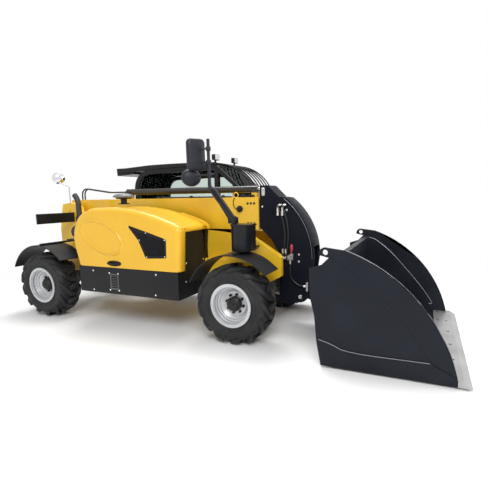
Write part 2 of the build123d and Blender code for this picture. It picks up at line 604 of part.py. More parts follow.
def hood_grille():
    """Air grille let into the hood's side: a frame with level slats."""
    y, depth = POD_Y0 + 4, HOOD_WALL - 4
    body = across(offset(outline(y, *GRILLE), amount=-FIT, kind=Kind.INTERSECTION), depth)
    window = across(offset(outline(y - 1, *GRILLE), amount=-GRILLE_EDGE, kind=Kind.INTERSECTION), depth + 2)
    body -= window
    low, high = min(z for _, z in GRILLE), max(z for _, z in GRILLE)
    left, right = min(x for x, _ in GRILLE), max(x for x, _ in GRILLE)
    window = across(offset(outline(y + 3, *GRILLE), amount=1 - GRILLE_EDGE, kind=Kind.INTERSECTION), depth - 6)
    pitch = SLAT + SLOT
    for i in range(2, int((high - low) / pitch) - 1):
        body += block(left, right, y, y + depth, low + i * pitch, low + i * pitch + SLAT) & window
    return body


def engine_bay():
    """Tub under the hood: skirt, floor, front panel and inner wall with the hinge posts."""
    t, top, face = HOOD_WALL, POD_SPLIT_Z - FIT, POD_Y0 + SKIRT_IN
    x0, x1, panel = BAY_X0, BAY_X1, HOOD_BROW[1] - 40
    body = block(x0, x1, face, POD_Y1, SKIRT_Z, top)
    body -= block(x0 + t, x1 - t, face + t, POD_Y1 - t, SKIRT_Z + t, top + 1)
    body -= block(*LOUVRE_X, face - 1, face + t + 1, *LOUVRE_Z)
    body += block(x1 - t, x1, POD_Y0 + FRONT_LIP + 8, POD_Y1, top - t, panel)
    body += block(x0 + 200, x1, POD_Y1 - t, POD_Y1, top - t, panel)
    y, z = HOOD_HINGE
    for x in HOOD_HINGES:
        body += block(x, x + HINGE_L, y - HINGE_R, POD_Y1, panel - 50, z)
        body += bar((x, y, z), (x + HINGE_L, y, z), HINGE_R)
        body -= bar((x - 1, y, z), (x + HINGE_L + 1, y, z), HOOD_PIN_R + FIT)
    return body


def skirt_louvre():
    """Louvre plate let into the skirt."""
    (x0, x1), (z0, z1), face = LOUVRE_X, LOUVRE_Z, POD_Y0 + SKIRT_IN
    body = block(x0 + FIT, x1 - FIT, face + 2, face + HOOD_WALL - 6, z0 + FIT, z1 - FIT)
    pitch = (z1 - z0 - 30) / LOUVRE_SLOTS
    for i in range(LOUVRE_SLOTS):
        z = z0 + 15 + (i + 0.2) * pitch
        body -= block(x0 + 18, x1 - 18, face, face + HOOD_WALL, z, z + 0.6 * pitch)
    return body


def engine_block():
    """Engine as one plain block on the floor of its bay."""
    return block(POD_X0 + 319, POD_X1 - 315, POD_Y0 + 80, POD_Y1 - 110, SKIRT_Z + HOOD_WALL + FIT, HOOD_BROW[1] - 60)


def cab_side(y0, y1):
    """Side frame of the cab, full, with its rounded rear corner."""
    z = CAB_ROOF_Z
    return slab(y0, y1, (CAB_X0, CAB_FLOOR_Z), (CAB_X0 + 22, z - 330), ((CAB_X0 + 95, z - 128), (CAB_X0 + 280, z - 45)),
                (DOOR_X1 + 30, z - 20), (CAB_X1 - 80, z - 340), (CAB_X1 - 20, CAB_SILL_Z - 80), (CAB_TOE_X, 930),
                (CAB_TOE_X, CAB_FLOOR_Z))


def cab_opening(y0, y1, bottom, grow=0):
    """Door or window opening inside a side frame's posts, with its rounded rear corner."""
    z = CAB_ROOF_Z
    face = outline(y0, (DOOR_X0, bottom), (DOOR_X0, z - 340), ((DOOR_X0 + 62, z - 168), (DOOR_X0 + 215, z - 104)),
                   (DOOR_X1, z - 80), (DOOR_X1, bottom))
    return across(offset(face, amount=grow, kind=Kind.INTERSECTION) if grow else face, y1 - y0)


def quarter_light(y0, y1, grow=0):
    """Opening between the door post and the windscreen."""
    face = outline(y0, (DOOR_X1 + 60, CAB_SILL_Z), (DOOR_X1 + 60, CAB_ROOF_Z - 120), (CAB_X1 - 115, CAB_ROOF_Z - 360),
                   (CAB_X1 - 70, CAB_SILL_Z))
    return across(offset(face, amount=grow, kind=Kind.INTERSECTION) if grow else face, y1 - y0)


def door_axis():
    """Place of the door's hinge line in plan."""
    return (DOOR_X0 + DOOR_GAP, CAB_Y1 + HINGE_R)


def cab_frame():
    """Cab shell: two side frames, cross members, a floor that steps over the rail and a lower rear wall."""
    y0, y1, wall, z, toe = CAB_Y0 + POST - 1, CAB_Y1 - POST + 1, RAIL_Y1 + 6, CAB_ROOF_Z, CAB_TOE_X
    body = cab_side(CAB_Y1 - POST, CAB_Y1) - cab_opening(CAB_Y1 - POST - 1, CAB_Y1 + 1, CAB_FLOOR_Z + POST)
    body += cab_side(CAB_Y0, CAB_Y0 + POST) - cab_opening(CAB_Y0 - 1, CAB_Y0 + POST + 1, CAB_SILL_Z)
    for y in (CAB_Y0, CAB_Y1 - POST):
        body -= quarter_light(y - 1, y + POST + 1)
    body += block(CAB_X0, toe, y0, y1, CAB_FLOOR_Z, CAB_FLOOR_Z + 30)
    body += block(CAB_X0 + 10, CAB_X0 + 40, y0, y1, CAB_FLOOR_Z, CAB_SILL_Z - 30)
    body += block(CAB_X0 + 285, CAB_X0 + 335, y0, y1, z - 98, z - 50)
    body += block(DOOR_X1, DOOR_X1 + 50, y0, y1, z - 90, z - 35)
    body += slab(y0, y1, (toe, CAB_FLOOR_Z), (toe, 930), (CAB_X1 - 20, CAB_SILL_Z - 80), (CAB_X1 - 50, CAB_SILL_Z - 60),
                 (toe - 30, 950), (toe - 30, CAB_FLOOR_Z))
    body -= block(CAB_X0 - 1, CAB_X1, CAB_Y0 - 1, wall, CAB_FLOOR_Z - 1, SHELF_Z)
    body += block(CAB_X0, toe, wall, wall + 25, CAB_FLOOR_Z, SHELF_Z + FLOOR_T)
    body += block(CAB_X0, toe, CAB_Y0, wall + 25, SHELF_Z, SHELF_Z + FLOOR_T)
    x, y = door_axis()
    for low in DOOR_HINGES:
        body += post(x, y, low, low + HINGE_L, HINGE_R) + block(x - 40, x, CAB_Y1, y, low, low + HINGE_L)
        body -= post(x, y, low - 1, low + HINGE_L + 1, DOOR_PIN_R + FIT)
    return body


def cab_roof():
    """Roof sheet with the visor behind."""
    x, z = CAB_X0, CAB_ROOF_Z
    return slab(CAB_Y0, CAB_Y1, (x + 280, z - 45 + FIT), (DOOR_X1 + 30, z - 20 + FIT), (DOOR_X1 + 30, z + 6),
                (DOOR_X1 - 10, z + 14), ((x + 700, z + 24), (x + 280, z + 20)), (x - 226, z - 8),
                ((x - 248, z - 34), (x - 230, z - 64)), (x - 140, z - 70))


def cab_glass():
    """Fixed panes: windscreen, rear window that bends up to the roof, right-hand window and quarter lights."""
    y0, y1, x, z = CAB_Y0 + POST + FIT, CAB_Y1 - POST - FIT, CAB_X0, CAB_ROOF_Z
    nose = CAB_X1
    front = slab(y0, y1, (DOOR_X1 + 50 + FIT, z - 60), (DOOR_X1 + 65, z - 50), (nose - 76, z - 350),
                 (nose - 22, CAB_SILL_Z - 70), (nose - 34, CAB_SILL_Z - 70), (nose - 88, z - 355))
    rear = slab(y0, y1, (x + 34, CAB_SILL_Z - 30 + FIT), (x + 50, z - 332), ((x + 113, z - 157), (x + 285 - FIT, z - 72)),
                (x + 285 - FIT, z - 80), ((x + 119, z - 163), (x + 58, z - 332)), (x + 42, CAB_SILL_Z - 30 + FIT))
    y = CAB_Y0 + POST / 2
    panes = [front, rear, cab_opening(y, y + GLASS_T, CAB_SILL_Z, -FIT)]
    panes += [quarter_light(y, y + GLASS_T, -FIT) for y in (CAB_Y0 + POST / 2, CAB_Y1 - POST / 2)]
    return Compound([solid for pane in panes for solid in pane.solids()])


def door_window(y0, y1, grow=0):
    """Window of the door, inside its sash."""
    return cab_opening(y0, y1, CAB_SILL_Z - 180 - DOOR_SASH, grow - DOOR_SASH)


def cab_door():
    """Door leaf with a window and a pull handle, hung on its rear edge."""
    leaf = cab_opening(CAB_Y1 - DOOR_T, CAB_Y1, CAB_FLOOR_Z + POST, -DOOR_GAP)
    leaf -= door_window(CAB_Y1 - DOOR_T - 1, CAB_Y1 + 1)
    x, y = door_axis()
    for z in DOOR_HINGES:
        low = z + HINGE_L + FIT
        leaf += post(x, y, low, low + HINGE_L, HINGE_R) + block(x, x + 40, CAB_Y1, y, low, low + HINGE_L)
        leaf += post(x, y, z - 10, low, DOOR_PIN_R)
    grip, out, low = DOOR_X1 - 90, CAB_Y1 + 34, CAB_SILL_Z - 250
    leaf += post(grip, out, low - 70, low + 70, 9)
    for z in (low - 58, low + 58):
        leaf += bar((grip, CAB_Y1 - 10, z), (grip, out, z), 8)
    return leaf


def door_glass():
    """Pane of the door."""
    y = CAB_Y1 - DOOR_T / 2
    return door_window(y, y + GLASS_T, -FIT)


def roof_guard():
    """Curved bars from the roof's front edge down over the windscreen, on a cross rail."""
    low, top = GUARD_LOW, (DOOR_X1 + 31, CAB_ROOF_Z - 8)
    (cx, cz), _ = circle_through(top, (low[0] - 200, low[1] + 220), low)
    turn = degrees(atan2(top[1] - cz, top[0] - cx) - atan2(low[1] - cz, low[0] - cx))
    body = cross(*low, CAB_Y0, CAB_Y1, 14)
    for i in range(GUARD_BARS):
        y = CAB_Y0 + 30 + i * (CAB_Y1 - CAB_Y0 - 60) / (GUARD_BARS - 1)
        start = Plane((top[0], y, top[1]), x_dir=(0, 1, 0), z_dir=(top[1] - cz, 0, cx - top[0]))
        body += revolve(start * RegularPolygon(GUARD_R, 8), Axis((cx, y, cz), (0, 1, 0)), turn)
    for y in (CAB_Y0 + 25, CAB_Y1 - 25):
        body += bar((CAB_X1 - 68 + FIT, y, low[1] - 70), (low[0], y, low[1]), 11)
    return body


def fenders():
    """Arched mudguards over the four wheels with a flat flap ahead, each on its stay from the rail."""
    pieces, r0, r1, z = [], FENDER_R, FENDER_R + FENDER_T, TYRE_R
    mid, ahead = (FENDER_AHEAD - FENDER_BACK) / 2, radians(FENDER_AHEAD)
    for x in AXLES.values():
        inner = [(x + r0 * sin(radians(d)), z + r0 * cos(radians(d))) for d in (-FENDER_BACK, mid, FENDER_AHEAD)]
        outer = [(x + r1 * sin(radians(d)), z + r1 * cos(radians(d))) for d in (FENDER_AHEAD, mid, -FENDER_BACK)]
        step = (FENDER_FLAP * cos(ahead), -FENDER_FLAP * sin(ahead))
        flap = [(p[0] + step[0], p[1] + step[1]) for p in (inner[2], outer[0])]
        for s in SIDES.values():
            arch = slab(s * FENDER_Y0, s * FENDER_Y1, inner[0], (inner[1], inner[2]), *flap, outer[0],
                        (outer[1], outer[2]))
            arch += cross(x + 50, STAY_Z, s * (RAIL_Y1 + FIT), s * (FENDER_Y1 - 10), STAY_R)
            pieces += arch.solids()
    return Compound(pieces)


def canister():
    """Round-fronted box above the right front mudguard, with the mirror arm's seat on its lid."""
    x, y, r, lid = CANISTER_X, CANISTER_Y, CANISTER_R, CANISTER_R + 8
    body = block(x - r, x + r, y, y + 100, CANISTER_Z0, CANISTER_Z1) + post(x, y, CANISTER_Z0, CANISTER_Z1, r)
    body += post(x, y, CANISTER_Z1, CANISTER_Z1 + LID_T, lid)
    body += block(x - lid, x + lid, y, y + 108, CANISTER_Z1, CANISTER_Z1 + LID_T)
    return body + block(x - 40, x + 40, y, -RAIL_Y1 - FIT, CANISTER_Z0, CANISTER_Z0 + 14)


def dish(r, depth):
    """Round mirror housing about X: flat towards the driver, domed ahead."""
    face = make_face([Line((0, 0), (r, 0)), Line((r, 0), (r, 0.4 * depth)),
                      ThreePointArc((r, 0.4 * depth), (0.66 * r, 0.83 * depth), (0, depth)), Line((0, depth), (0, 0))])
    return Rot(0, 0, -90) * revolve(face, Axis.Y)


def mirror_places():
    """Places of the flat mirror, the round one under it and the one on the tower, turned to the driver."""
    low = CANISTER_Z1 + LID_T
    turn, y = Rot(0, 0, MIRROR_TURN), MIRROR_Y
    return (Pos(POLE_X - 148, y, low + 707) * turn, Pos(POLE_X - 216, y, low + 479) * turn, Pos(*REAR_MIRROR) * turn)


def mirror_arm():
    """Bent arm and pole that carry the right-hand mirrors, with their housings."""
    x, y, low = POLE_X, MIRROR_Y, CANISTER_Z1 + LID_T
    foot, knee = (CANISTER_X - 80, y + 60, low + 29), (x, y, low + 367)
    flat, dome, _ = mirror_places()
    body = bar((*foot[:2], low + FIT), foot, 22) + Pos(*foot) * Sphere(22) + bar(foot, knee, 22)
    body += Pos(*knee) * Sphere(22) + bar(knee, (x, y, low + 852), 17)
    for z in (low + 757, low + 627):
        body += bar((x, y, z), (x - 116, y, z), 9)
    body += bar((x, y, low + 502), (x - 190, y, low + 487), 9)
    body += flat * fillet(Box(48, 200, 320).edges(), 16)
    return body + dome * Pos(-22, 0, 0) * dish(82, 48)


def mirror_glass():
    """Reflecting faces of the mirrors, towards the driver."""
    flat, dome, rear = mirror_places()
    panes = [flat * Pos(-26 - FIT, 0, 0) * Box(4, 160, 280), dome * Pos(-24 - FIT, 0, 0) * Rot(0, 90, 0) * Cylinder(76, 4),
             rear * Pos(-19 - FIT, 0, 0) * Rot(0, 90, 0) * Cylinder(74, 4)]
    return Compound([solid for pane in panes for solid in pane.solids()])


def rear_mirror():
    """Round mirror on a bent rod from the boom tower."""
    x, y, z = REAR_MIRROR
    foot, knee = (-30, y, TOWER_TOP + 2 * FIT), (-30, y, TOWER_TOP + 220)
    body = bar(foot, knee, 9) + bar(knee, (x, y, z - 60), 9) + Pos(*knee) * Sphere(9)
    return body + mirror_places()[2] * Pos(-17, 0, 0) * dish(80, 40)


def exhaust():
    """Silencer on its deck beside the tower, with a curved tail pipe."""
    x, y, z, r = 330, -RAIL_Y1 - 150, 1090, 34
    body = block(x - 140, x + 270, y - 110, -RAIL_Y1 - FIT, z - 105, z - 90)
    body += bar((x - 80, y, z), (x + 255, y, z), 82)
    for saddle in (x - 30, x + 170):
        body += block(saddle, saddle + 40, y - 60, y + 60, z - 90, z - 30)
    body += post(x, y, z, z + 200, r + 12) + post(x, y, z, z + 350, r)
    return body + revolve(Pos(x, y, z + 350) * Circle(r), Axis((x - 190, y, z + 350), (0, -1, 0)), 45)


def rear_boards():
    """Lamp boards behind, one each side of the tower."""
    return Compound([solid for s in SIDES.values() for solid in block(
        BOARD_X, BOARD_X + 22, s * (RAIL_Y1 + FIT), s * FENDER_Y1, BOARD_Z, BOARD_Z + 130).solids()])


def lamp_housings():
    """Work lamps on stems from the cab roof."""
    solids, x, z = [], LAMP_X, CAB_ROOF_Z
    for y in (CAB_Y0 + 60, CAB_Y1 - 60):
        lamp = fillet(block(x - 14, x + 40, y - 55, y + 55, z + 40, z + 110).edges().group_by(Axis.X)[0], 12)
        solids += (lamp + block(x + 2, x + 18, y - 14, y + 14, z + 14 + 2 * FIT, z + 50)).solids()
    return Compound(solids)


def lamp_lenses():
    """Lenses of the roof lamps and the rear lamp clusters."""
    solids, x, z = [], LAMP_X + 40, CAB_ROOF_Z
    for y in (CAB_Y0 + 60, CAB_Y1 - 60):
        solids += block(x + FIT, x + 8, y - 50, y + 50, z + 45, z + 105).solids()
    for s in SIDES.values():
        solids += block(BOARD_X - 22, BOARD_X - FIT, s * (FENDER_Y1 - 280), s * (FENDER_Y1 - 40), BOARD_Z + 22,
                        BOARD_Z + 108).solids()
    return Compound(solids)


def side_tank():
    """Tank under the cab, with the step let into its side."""
    body = block(CAB_X0 + 30, CAB_X1 - 340, RAIL_Y1 + FIT, CAB_Y1 - 10, 430, CAB_FLOOR_Z - FIT)
    return body - block(CAB_X0 + 480, CAB_X0 + 980, CAB_Y1 - 150, CAB_Y1 - 9, 470, 560)


def seat():
    """Driver's seat: pedestal, cushion, leaning back and head rest."""
    x, y0, y1, z = CAB_X0 + 260, CAB_Y0 + 185, CAB_Y1 - 80, CAB_FLOOR_Z + 30 + FIT
    body = block(x + 40, x + 420, y0 + 40, y1 - 40, z, z + 250) + block(x, x + 470, y0, y1, z + 250, z + 350)
    return body + slab(y0, y1, (x, z + 349), (x + 100, z + 349), (x + 30, z + 760), (x - 60, z + 760))


def controls():
    """Steering column with its wheel."""
    x, y, z = CAB_X1 - 600, CAB_Y0 + 375, CAB_FLOOR_Z + 30 + FIT
    column = slab(y - 50, y + 50, (x, z), (x + 200, z), (x + 60, CAB_SILL_Z), (x - 40, CAB_SILL_Z))
    hub_at = (x - 50, y, CAB_SILL_Z + 110)
    ring = revolve(Plane.XZ * Pos(180, 0) * RegularPolygon(14, 8), Axis.Z)
    wheel = Pos(*hub_at) * Rot(0, -25, 0) * (ring + Box(350, 40, 16))
    return column + bar((x + 5, y, CAB_SILL_Z - 10), hub_at, 24) + wheel


def pre_cleaner():
    """Mushroom intake on the hood: flange, stem and domed cap."""
    x, y = PRE_CLEANER
    z = hood_top(x + CLEANER_FLANGE) + FIT
    face = outline(0, (0, 0), (CLEANER_FLANGE, 0), (CLEANER_FLANGE, 10), (36, 16), (36, 62), (84, 66), (92, 76),
                   ((72, 112), (16, 126)), (0, 126))
    return Pos(x, y, z) * revolve(face, Axis.Z)


def nodes():
    """Every node's name and solid, in the machine frame."""
    tilt_pin = lever_pin()
    lift_len = hypot(LIFT_PIN[0] - LIFT_BASE[0], LIFT_PIN[1] - LIFT_BASE[1])
    tilt_len = hypot(tilt_pin[0] - TILT_BASE[0], tilt_pin[1] - TILT_BASE[1])
    gland_lift, gland_tilt = lift_len - 130, tilt_len - 190
    table = {
        "chassis_frame": chassis_frame(), "fenders": fenders(), "canister": canister(), "mirror_arm": mirror_arm(),
        "mirror_glass": mirror_glass(), "rear_mirror": rear_mirror(), "exhaust": exhaust(),
        "rear_boards": rear_boards(), "lamp_housings": lamp_housings(), "lamp_lenses": lamp_lenses(),
        "engine_bay": engine_bay(), "skirt_louvre": skirt_louvre(), "engine_block": engine_block(), "hood": hood(),
        "hood_grille": hood_grille(), "pre_cleaner": pre_cleaner(), "cab_frame": cab_frame(),
        "cab_roof": cab_roof(), "cab_glass": cab_glass(), "roof_guard": roof_guard(), "cab_door": cab_door(),
        "door_glass": door_glass(), "side_tank": side_tank(), "seat": seat(), "controls": controls(),
        "outer_boom": outer_boom(), "boom_hoses": boom_hoses(), "extension_barrel": extension_barrel(),
        "extension_rod": extension_rod(), "inner_boom": inner_boom(), "gooseneck": gooseneck(),
        "neck_hoses": neck_hoses(), "bucket": bucket(), "cutting_edge": cutting_edge(), "coupler": coupler(),
        "lift_barrel": cylinder_barrel(LIFT_BASE, LIFT_PIN, LIFT_R, LIFT_ROD_R, gland_lift, 56),
        "lift_rod": cylinder_rod(LIFT_BASE, LIFT_PIN, LIFT_ROD_R, 60),
        "tilt_barrel": cylinder_barrel(TILT_BASE, tilt_pin, TILT_R, TILT_ROD_R, gland_tilt, 200),
        "tilt_rod": cylinder_rod(TILT_BASE, tilt_pin, TILT_ROD_R, gland_tilt - 360),
    }
    for name, s in SIDES.items():
        table[f"chassis_rail_{name}"] = chassis_rail(s)
        turning = {"hub": hub(s), "rim": rim(s), "tyre": tyre(s)}
        for end, x in AXLES.items():
            table[f"knuckle_{end}_{name}"] = knuckle(x, s)
            for piece, solid in turning.items():
                table[f"{piece}_{end}_{name}"] = Pos(x, s * TRACK_HALF, TYRE_R) * solid
    for end, x in AXLES.items():
        table[f"{end}_axle"] = axle(x)
    return table


def main():
    os.makedirs("parts", exist_ok=True)
    for name, solid in nodes().items():
        export_step(Pos(-ORIGIN_X, 0, 0) * solid, f"parts/{name}.step")


if __name__ == "__main__":
    main()
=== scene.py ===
"""Looks of a compact telehandler with an earth bucket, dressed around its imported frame.

Everything is in the row frame: metres, +X forward, +Y to the machine's left, +Z up, with the
origin on the ground under the middle of the machine.
"""

import json
import logging
import math
from dataclasses import dataclass
from enum import Enum
from typing import Any, Mapping, Sequence, Union

import bmesh
import bpy
import numpy as np
from mathutils import Matrix, Vector
from numpy.typing import NDArray

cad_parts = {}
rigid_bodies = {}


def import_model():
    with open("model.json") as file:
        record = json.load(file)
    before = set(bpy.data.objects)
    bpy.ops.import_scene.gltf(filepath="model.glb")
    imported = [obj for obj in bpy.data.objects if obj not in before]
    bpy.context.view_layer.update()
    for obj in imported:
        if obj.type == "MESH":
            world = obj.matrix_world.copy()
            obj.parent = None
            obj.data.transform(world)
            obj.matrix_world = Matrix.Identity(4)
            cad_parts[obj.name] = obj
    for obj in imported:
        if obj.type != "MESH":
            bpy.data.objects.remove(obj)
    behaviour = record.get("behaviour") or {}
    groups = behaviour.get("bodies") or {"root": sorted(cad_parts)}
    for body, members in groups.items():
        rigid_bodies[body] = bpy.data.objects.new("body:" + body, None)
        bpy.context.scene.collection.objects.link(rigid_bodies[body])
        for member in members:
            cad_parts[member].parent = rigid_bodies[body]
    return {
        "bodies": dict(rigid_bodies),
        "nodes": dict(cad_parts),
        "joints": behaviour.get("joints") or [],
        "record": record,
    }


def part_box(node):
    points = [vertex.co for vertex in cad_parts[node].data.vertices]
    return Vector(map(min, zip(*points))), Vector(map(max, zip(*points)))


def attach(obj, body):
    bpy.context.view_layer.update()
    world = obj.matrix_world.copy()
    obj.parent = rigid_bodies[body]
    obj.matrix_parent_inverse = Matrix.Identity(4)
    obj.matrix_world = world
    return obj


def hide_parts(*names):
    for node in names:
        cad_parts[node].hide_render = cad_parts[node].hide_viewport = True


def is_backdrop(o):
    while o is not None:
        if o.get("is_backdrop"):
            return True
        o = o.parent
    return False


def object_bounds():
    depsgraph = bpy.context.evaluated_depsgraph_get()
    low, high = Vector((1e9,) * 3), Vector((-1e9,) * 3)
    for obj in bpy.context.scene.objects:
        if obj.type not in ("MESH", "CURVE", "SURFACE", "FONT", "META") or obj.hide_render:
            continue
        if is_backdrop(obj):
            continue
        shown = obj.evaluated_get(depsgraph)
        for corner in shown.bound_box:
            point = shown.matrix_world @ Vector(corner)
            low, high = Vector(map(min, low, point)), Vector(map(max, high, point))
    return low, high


Array = NDArray[np.float64]
Colour = tuple[float, float, float]
Point = tuple[float, float, float]
Pair = tuple[float, float]
Line = tuple[Pair, ...]
Corners = tuple[tuple[float, ...], ...]
LOG = logging.getLogger("telehandler")
TURN = 2 * math.pi
TO_RIGHT = np.array([(1, 0, 0), (0, 0, 1), (0, -1, 0)], float)
TO_LEFT = np.array([(1, 0, 0), (0, 0, -1), (0, 1, 0)], float)
TO_FRONT = np.array([(0, 1, 0), (0, 0, 1), (1, 0, 0)], float)
FLIP = np.diag([1, -1, 1.0])


class Socket:
    """An output in a material's node tree. Arithmetic on it adds Math nodes."""

    def __init__(self, graph: "Graph", out: bpy.types.NodeSocket) -> None:
        """Wraps one output of one graph."""
        self.graph, self.out = graph, out

    def _math(self, operation: str, first: "Value", second: "Value") -> "Socket":
        """Adds a Math node of two inputs."""
        return self.graph.node("ShaderNodeMath", {"operation": operation}, {0: first, 1: second})

    def __add__(self, other: "Value") -> "Socket":
        """self + other."""
        return self._math("ADD", self, other)

    __radd__ = __add__

    def __mul__(self, other: "Value") -> "Socket":
        """self * other."""
        return self._math("MULTIPLY", self, other)

    __rmul__ = __mul__

    def __sub__(self, other: "Value") -> "Socket":
        """self - other."""
        return self._math("SUBTRACT", self, other)

    def __rsub__(self, other: "Value") -> "Socket":
        """other - self."""
        return self._math("SUBTRACT", other, self)

    def __pow__(self, other: "Value") -> "Socket":
        """self to the power of other."""
        return self._math("POWER", self, other)

    def __mod__(self, other: float) -> "Socket":
        """Remainder of self by other, never negative."""
        return self._math("FLOORED_MODULO", self, other)

    def most(self, other: "Value") -> "Socket":
        """The larger of self and other."""
        return self._math("MAXIMUM", self, other)

    def between(self, low: float, high: float) -> "Socket":
        """Smooth step from 0 at low to 1 at high."""
        return self.graph.node("ShaderNodeMapRange", {"interpolation_type": "SMOOTHSTEP"},
                               {"Value": self, "From Min": low, "From Max": high})


Value = Union[Socket, float]
Look = Union["Coat", "Rubber", "Glazing", "Lens", "Cover"]


class Graph:
    """Node tree of one material or world. One method makes every node."""

    def __init__(self, owner: bpy.types.Material | bpy.types.World) -> None:
        """Empties the owner's tree."""
        self.owner = owner
        owner.use_nodes = True
        self.tree = owner.node_tree
        self.tree.nodes.clear()

    def make(self, kind: str, settings: Mapping[str, Any] | None = None,
             inputs: Mapping[Any, Any] | None = None) -> bpy.types.Node:
        """Adds a node.

        Args:
            kind: Blender's type of the node.
            settings: its own settings, set first.
            inputs: values or links of its sockets, by name or number.

        Returns:
            The node.
        """
        made = self.tree.nodes.new(kind)
        for key, value in (settings or {}).items():
            setattr(made, key, value)
        for key, value in (inputs or {}).items():
            socket = made.inputs[key]
            if isinstance(value, Socket):
                self.tree.links.new(value.out, socket)
            elif socket.type == "RGBA":
                socket.default_value = (*value[:3], 1)
            else:
                socket.default_value = value
        return made

    def node(self, kind: str, settings: Mapping[str, Any] | None = None,
             inputs: Mapping[Any, Any] | None = None, output: int | str = 0) -> Socket:
        """Adds a node and gives back one of its outputs."""
        return Socket(self, self.make(kind, settings, inputs).outputs[output])

    def place(self, stretch: Point = (1, 1, 1)) -> Socket:
        """Object coordinates, scaled along each axis."""
        coords = self.node("ShaderNodeTexCoord", output="Object")
        return self.node("ShaderNodeMapping", {}, {"Vector": coords, "Scale": stretch})

    def axis(self, letter: str) -> Socket:
        """One Object coordinate, in metres."""
        return self.node("ShaderNodeSeparateXYZ", {}, {"Vector": self.place()}, letter)

    def noise(self, scale: float, detail: float = 3, stretch: Point = (1, 1, 1)) -> Socket:
        """Noise with that many lumps to a metre, from 0 to 1."""
        return self.node("ShaderNodeTexNoise", {},
                         {"Vector": self.place(stretch), "Scale": scale, "Detail": detail})

    def cells(self, scale: float) -> Socket:
        """Distance to the nearest of scattered points, for pebbled skins."""
        return self.node("ShaderNodeTexVoronoi", {}, {"Vector": self.place(), "Scale": scale})

    def mix(self, factor: Value, a: Any, b: Any) -> Socket:
        """Colour a where the factor is 0, b where it is 1."""
        return self.node("ShaderNodeMix", {"data_type": "RGBA"}, {0: factor, 6: a, 7: b}, 2)

    def bump(self, height: Socket, depth: float) -> Socket:
        """Normal of a height field from 0 to 1 that is depth metres deep."""
        return self.node("ShaderNodeBump", {}, {"Height": height, "Distance": depth, "Strength": 1})

    def surface(self, inputs: Mapping[str, Any]) -> bpy.types.Material:
        """Ends the tree in a Principled shader with these sockets."""
        return self.end(self.node("ShaderNodeBsdfPrincipled", {}, inputs))

    def end(self, shader: Socket, kind: str = "Material") -> bpy.types.Material | bpy.types.World:
        """Ends the tree in a shader and gives the owner back."""
        self.make(f"ShaderNodeOutput{kind}", {}, {"Surface": shader})
        return self.owner


@dataclass(frozen=True)
class Coat:
    """A paint, moulding or metal: two tones that mottle, a fine skin and dust near the ground.

    Args:
        colour: the tone of most of the surface.
        shade: the tone that it drifts to in soft clouds.
        roughness: least and most roughness over the surface.
        skin: lumps to a metre, and depth in metres, of the skin's bump.
        stretch: how the skin is drawn out along each axis, for brushed metal.
        metallic: 1 for bare metal.
        coat: weight of the clear coat.
        specular: level of the shader's own reflection, 0.5 for a plain gloss paint.
        dust: share of pale dust at ground level.
        dust_height: height in metres where the dust has gone.
        dust_colour: the dust's own tone.
    """

    colour: Colour
    shade: Colour
    roughness: Pair
    skin: Pair
    stretch: Point = (1, 1, 1)
    metallic: float = 0
    coat: float = 0
    specular: float = 0.5
    dust: float = 0.05
    dust_height: float = 0.7
    dust_colour: Colour = (0.36, 0.32, 0.26)

    def build(self, name: str) -> bpy.types.Material:
        """Material of this coat: clouds drive colour and roughness, the skin drives the normal."""
        g = Graph(bpy.data.materials.new(name))
        clouds = g.noise(2.3, 4).between(0.32, 0.7)
        film = g.noise(6, 7).between(0.4, 0.8)
        low = 1 - g.axis("Z").between(0, self.dust_height)
        dust = low * film * self.dust
        colour = g.mix(dust, g.mix(clouds, self.colour, self.shade), self.dust_colour)
        rough = self.roughness[0] + clouds * (self.roughness[1] - self.roughness[0]) + dust * 0.5
        skin = g.noise(self.skin[0], 4, self.stretch)
        return g.surface({"Base Color": colour, "Roughness": rough, "Metallic": self.metallic,
                          "Specular IOR Level": self.specular, "Coat Weight": self.coat,
                          "Coat Roughness": 0.08, "Normal": g.bump(skin, self.skin[1])})


@dataclass(frozen=True)
class Rubber:
    """Tyre rubber: charcoal with dusty sidewalls and a fine pebbled skin."""

    colour: Colour = (0.016, 0.0165, 0.018)
    dusty: Colour = (0.062, 0.060, 0.057)
    roughness: Pair = (0.5, 0.8)

    def build(self, name: str) -> bpy.types.Material:
        """Material: scuffs in two sizes lift the colour and the roughness together."""
        g = Graph(bpy.data.materials.new(name))
        scuff = g.noise(9, 6).between(0.42, 0.78) * 0.45 + g.noise(70, 4).between(0.5, 0.8) * 0.25
        rough = self.roughness[0] + scuff * (self.roughness[1] - self.roughness[0])
        skin = g.noise(420, 3) * 0.6 + g.cells(160) * 0.4
        return g.surface({"Base Color": g.mix(scuff, self.colour, self.dusty), "Roughness": rough,
                          "Specular IOR Level": 0.25, "Normal": g.bump(skin, 0.0004)})


@dataclass(frozen=True)
class Glazing:
    """Tinted safety glass: a see-through tint under a glossy skin that grows towards grazing angles."""

    tint: Colour = (0.89, 0.925, 0.905)
    skin: Colour = (0.010, 0.014, 0.013)
    film: Colour = (0.03, 0.034, 0.033)
    bend: float = 1.35

    def build(self, name: str) -> bpy.types.Material:
        """Material: the skin's share is the Fresnel share of the angle, with a little more under a film."""
        g = Graph(bpy.data.materials.new(name))
        film = g.noise(1.6, 2).between(0.4, 0.75)
        through = g.node("ShaderNodeBsdfTransparent", {}, {"Color": self.tint})
        skin = g.node("ShaderNodeBsdfPrincipled", {}, {
            "Base Color": g.mix(film, self.skin, self.film), "Roughness": 0.03 + film * 0.02})
        share = g.node("ShaderNodeFresnel", {}, {"IOR": self.bend}) + film * 0.015
        return g.end(g.node("ShaderNodeMixShader", {}, {0: share, 1: through, 2: skin}))


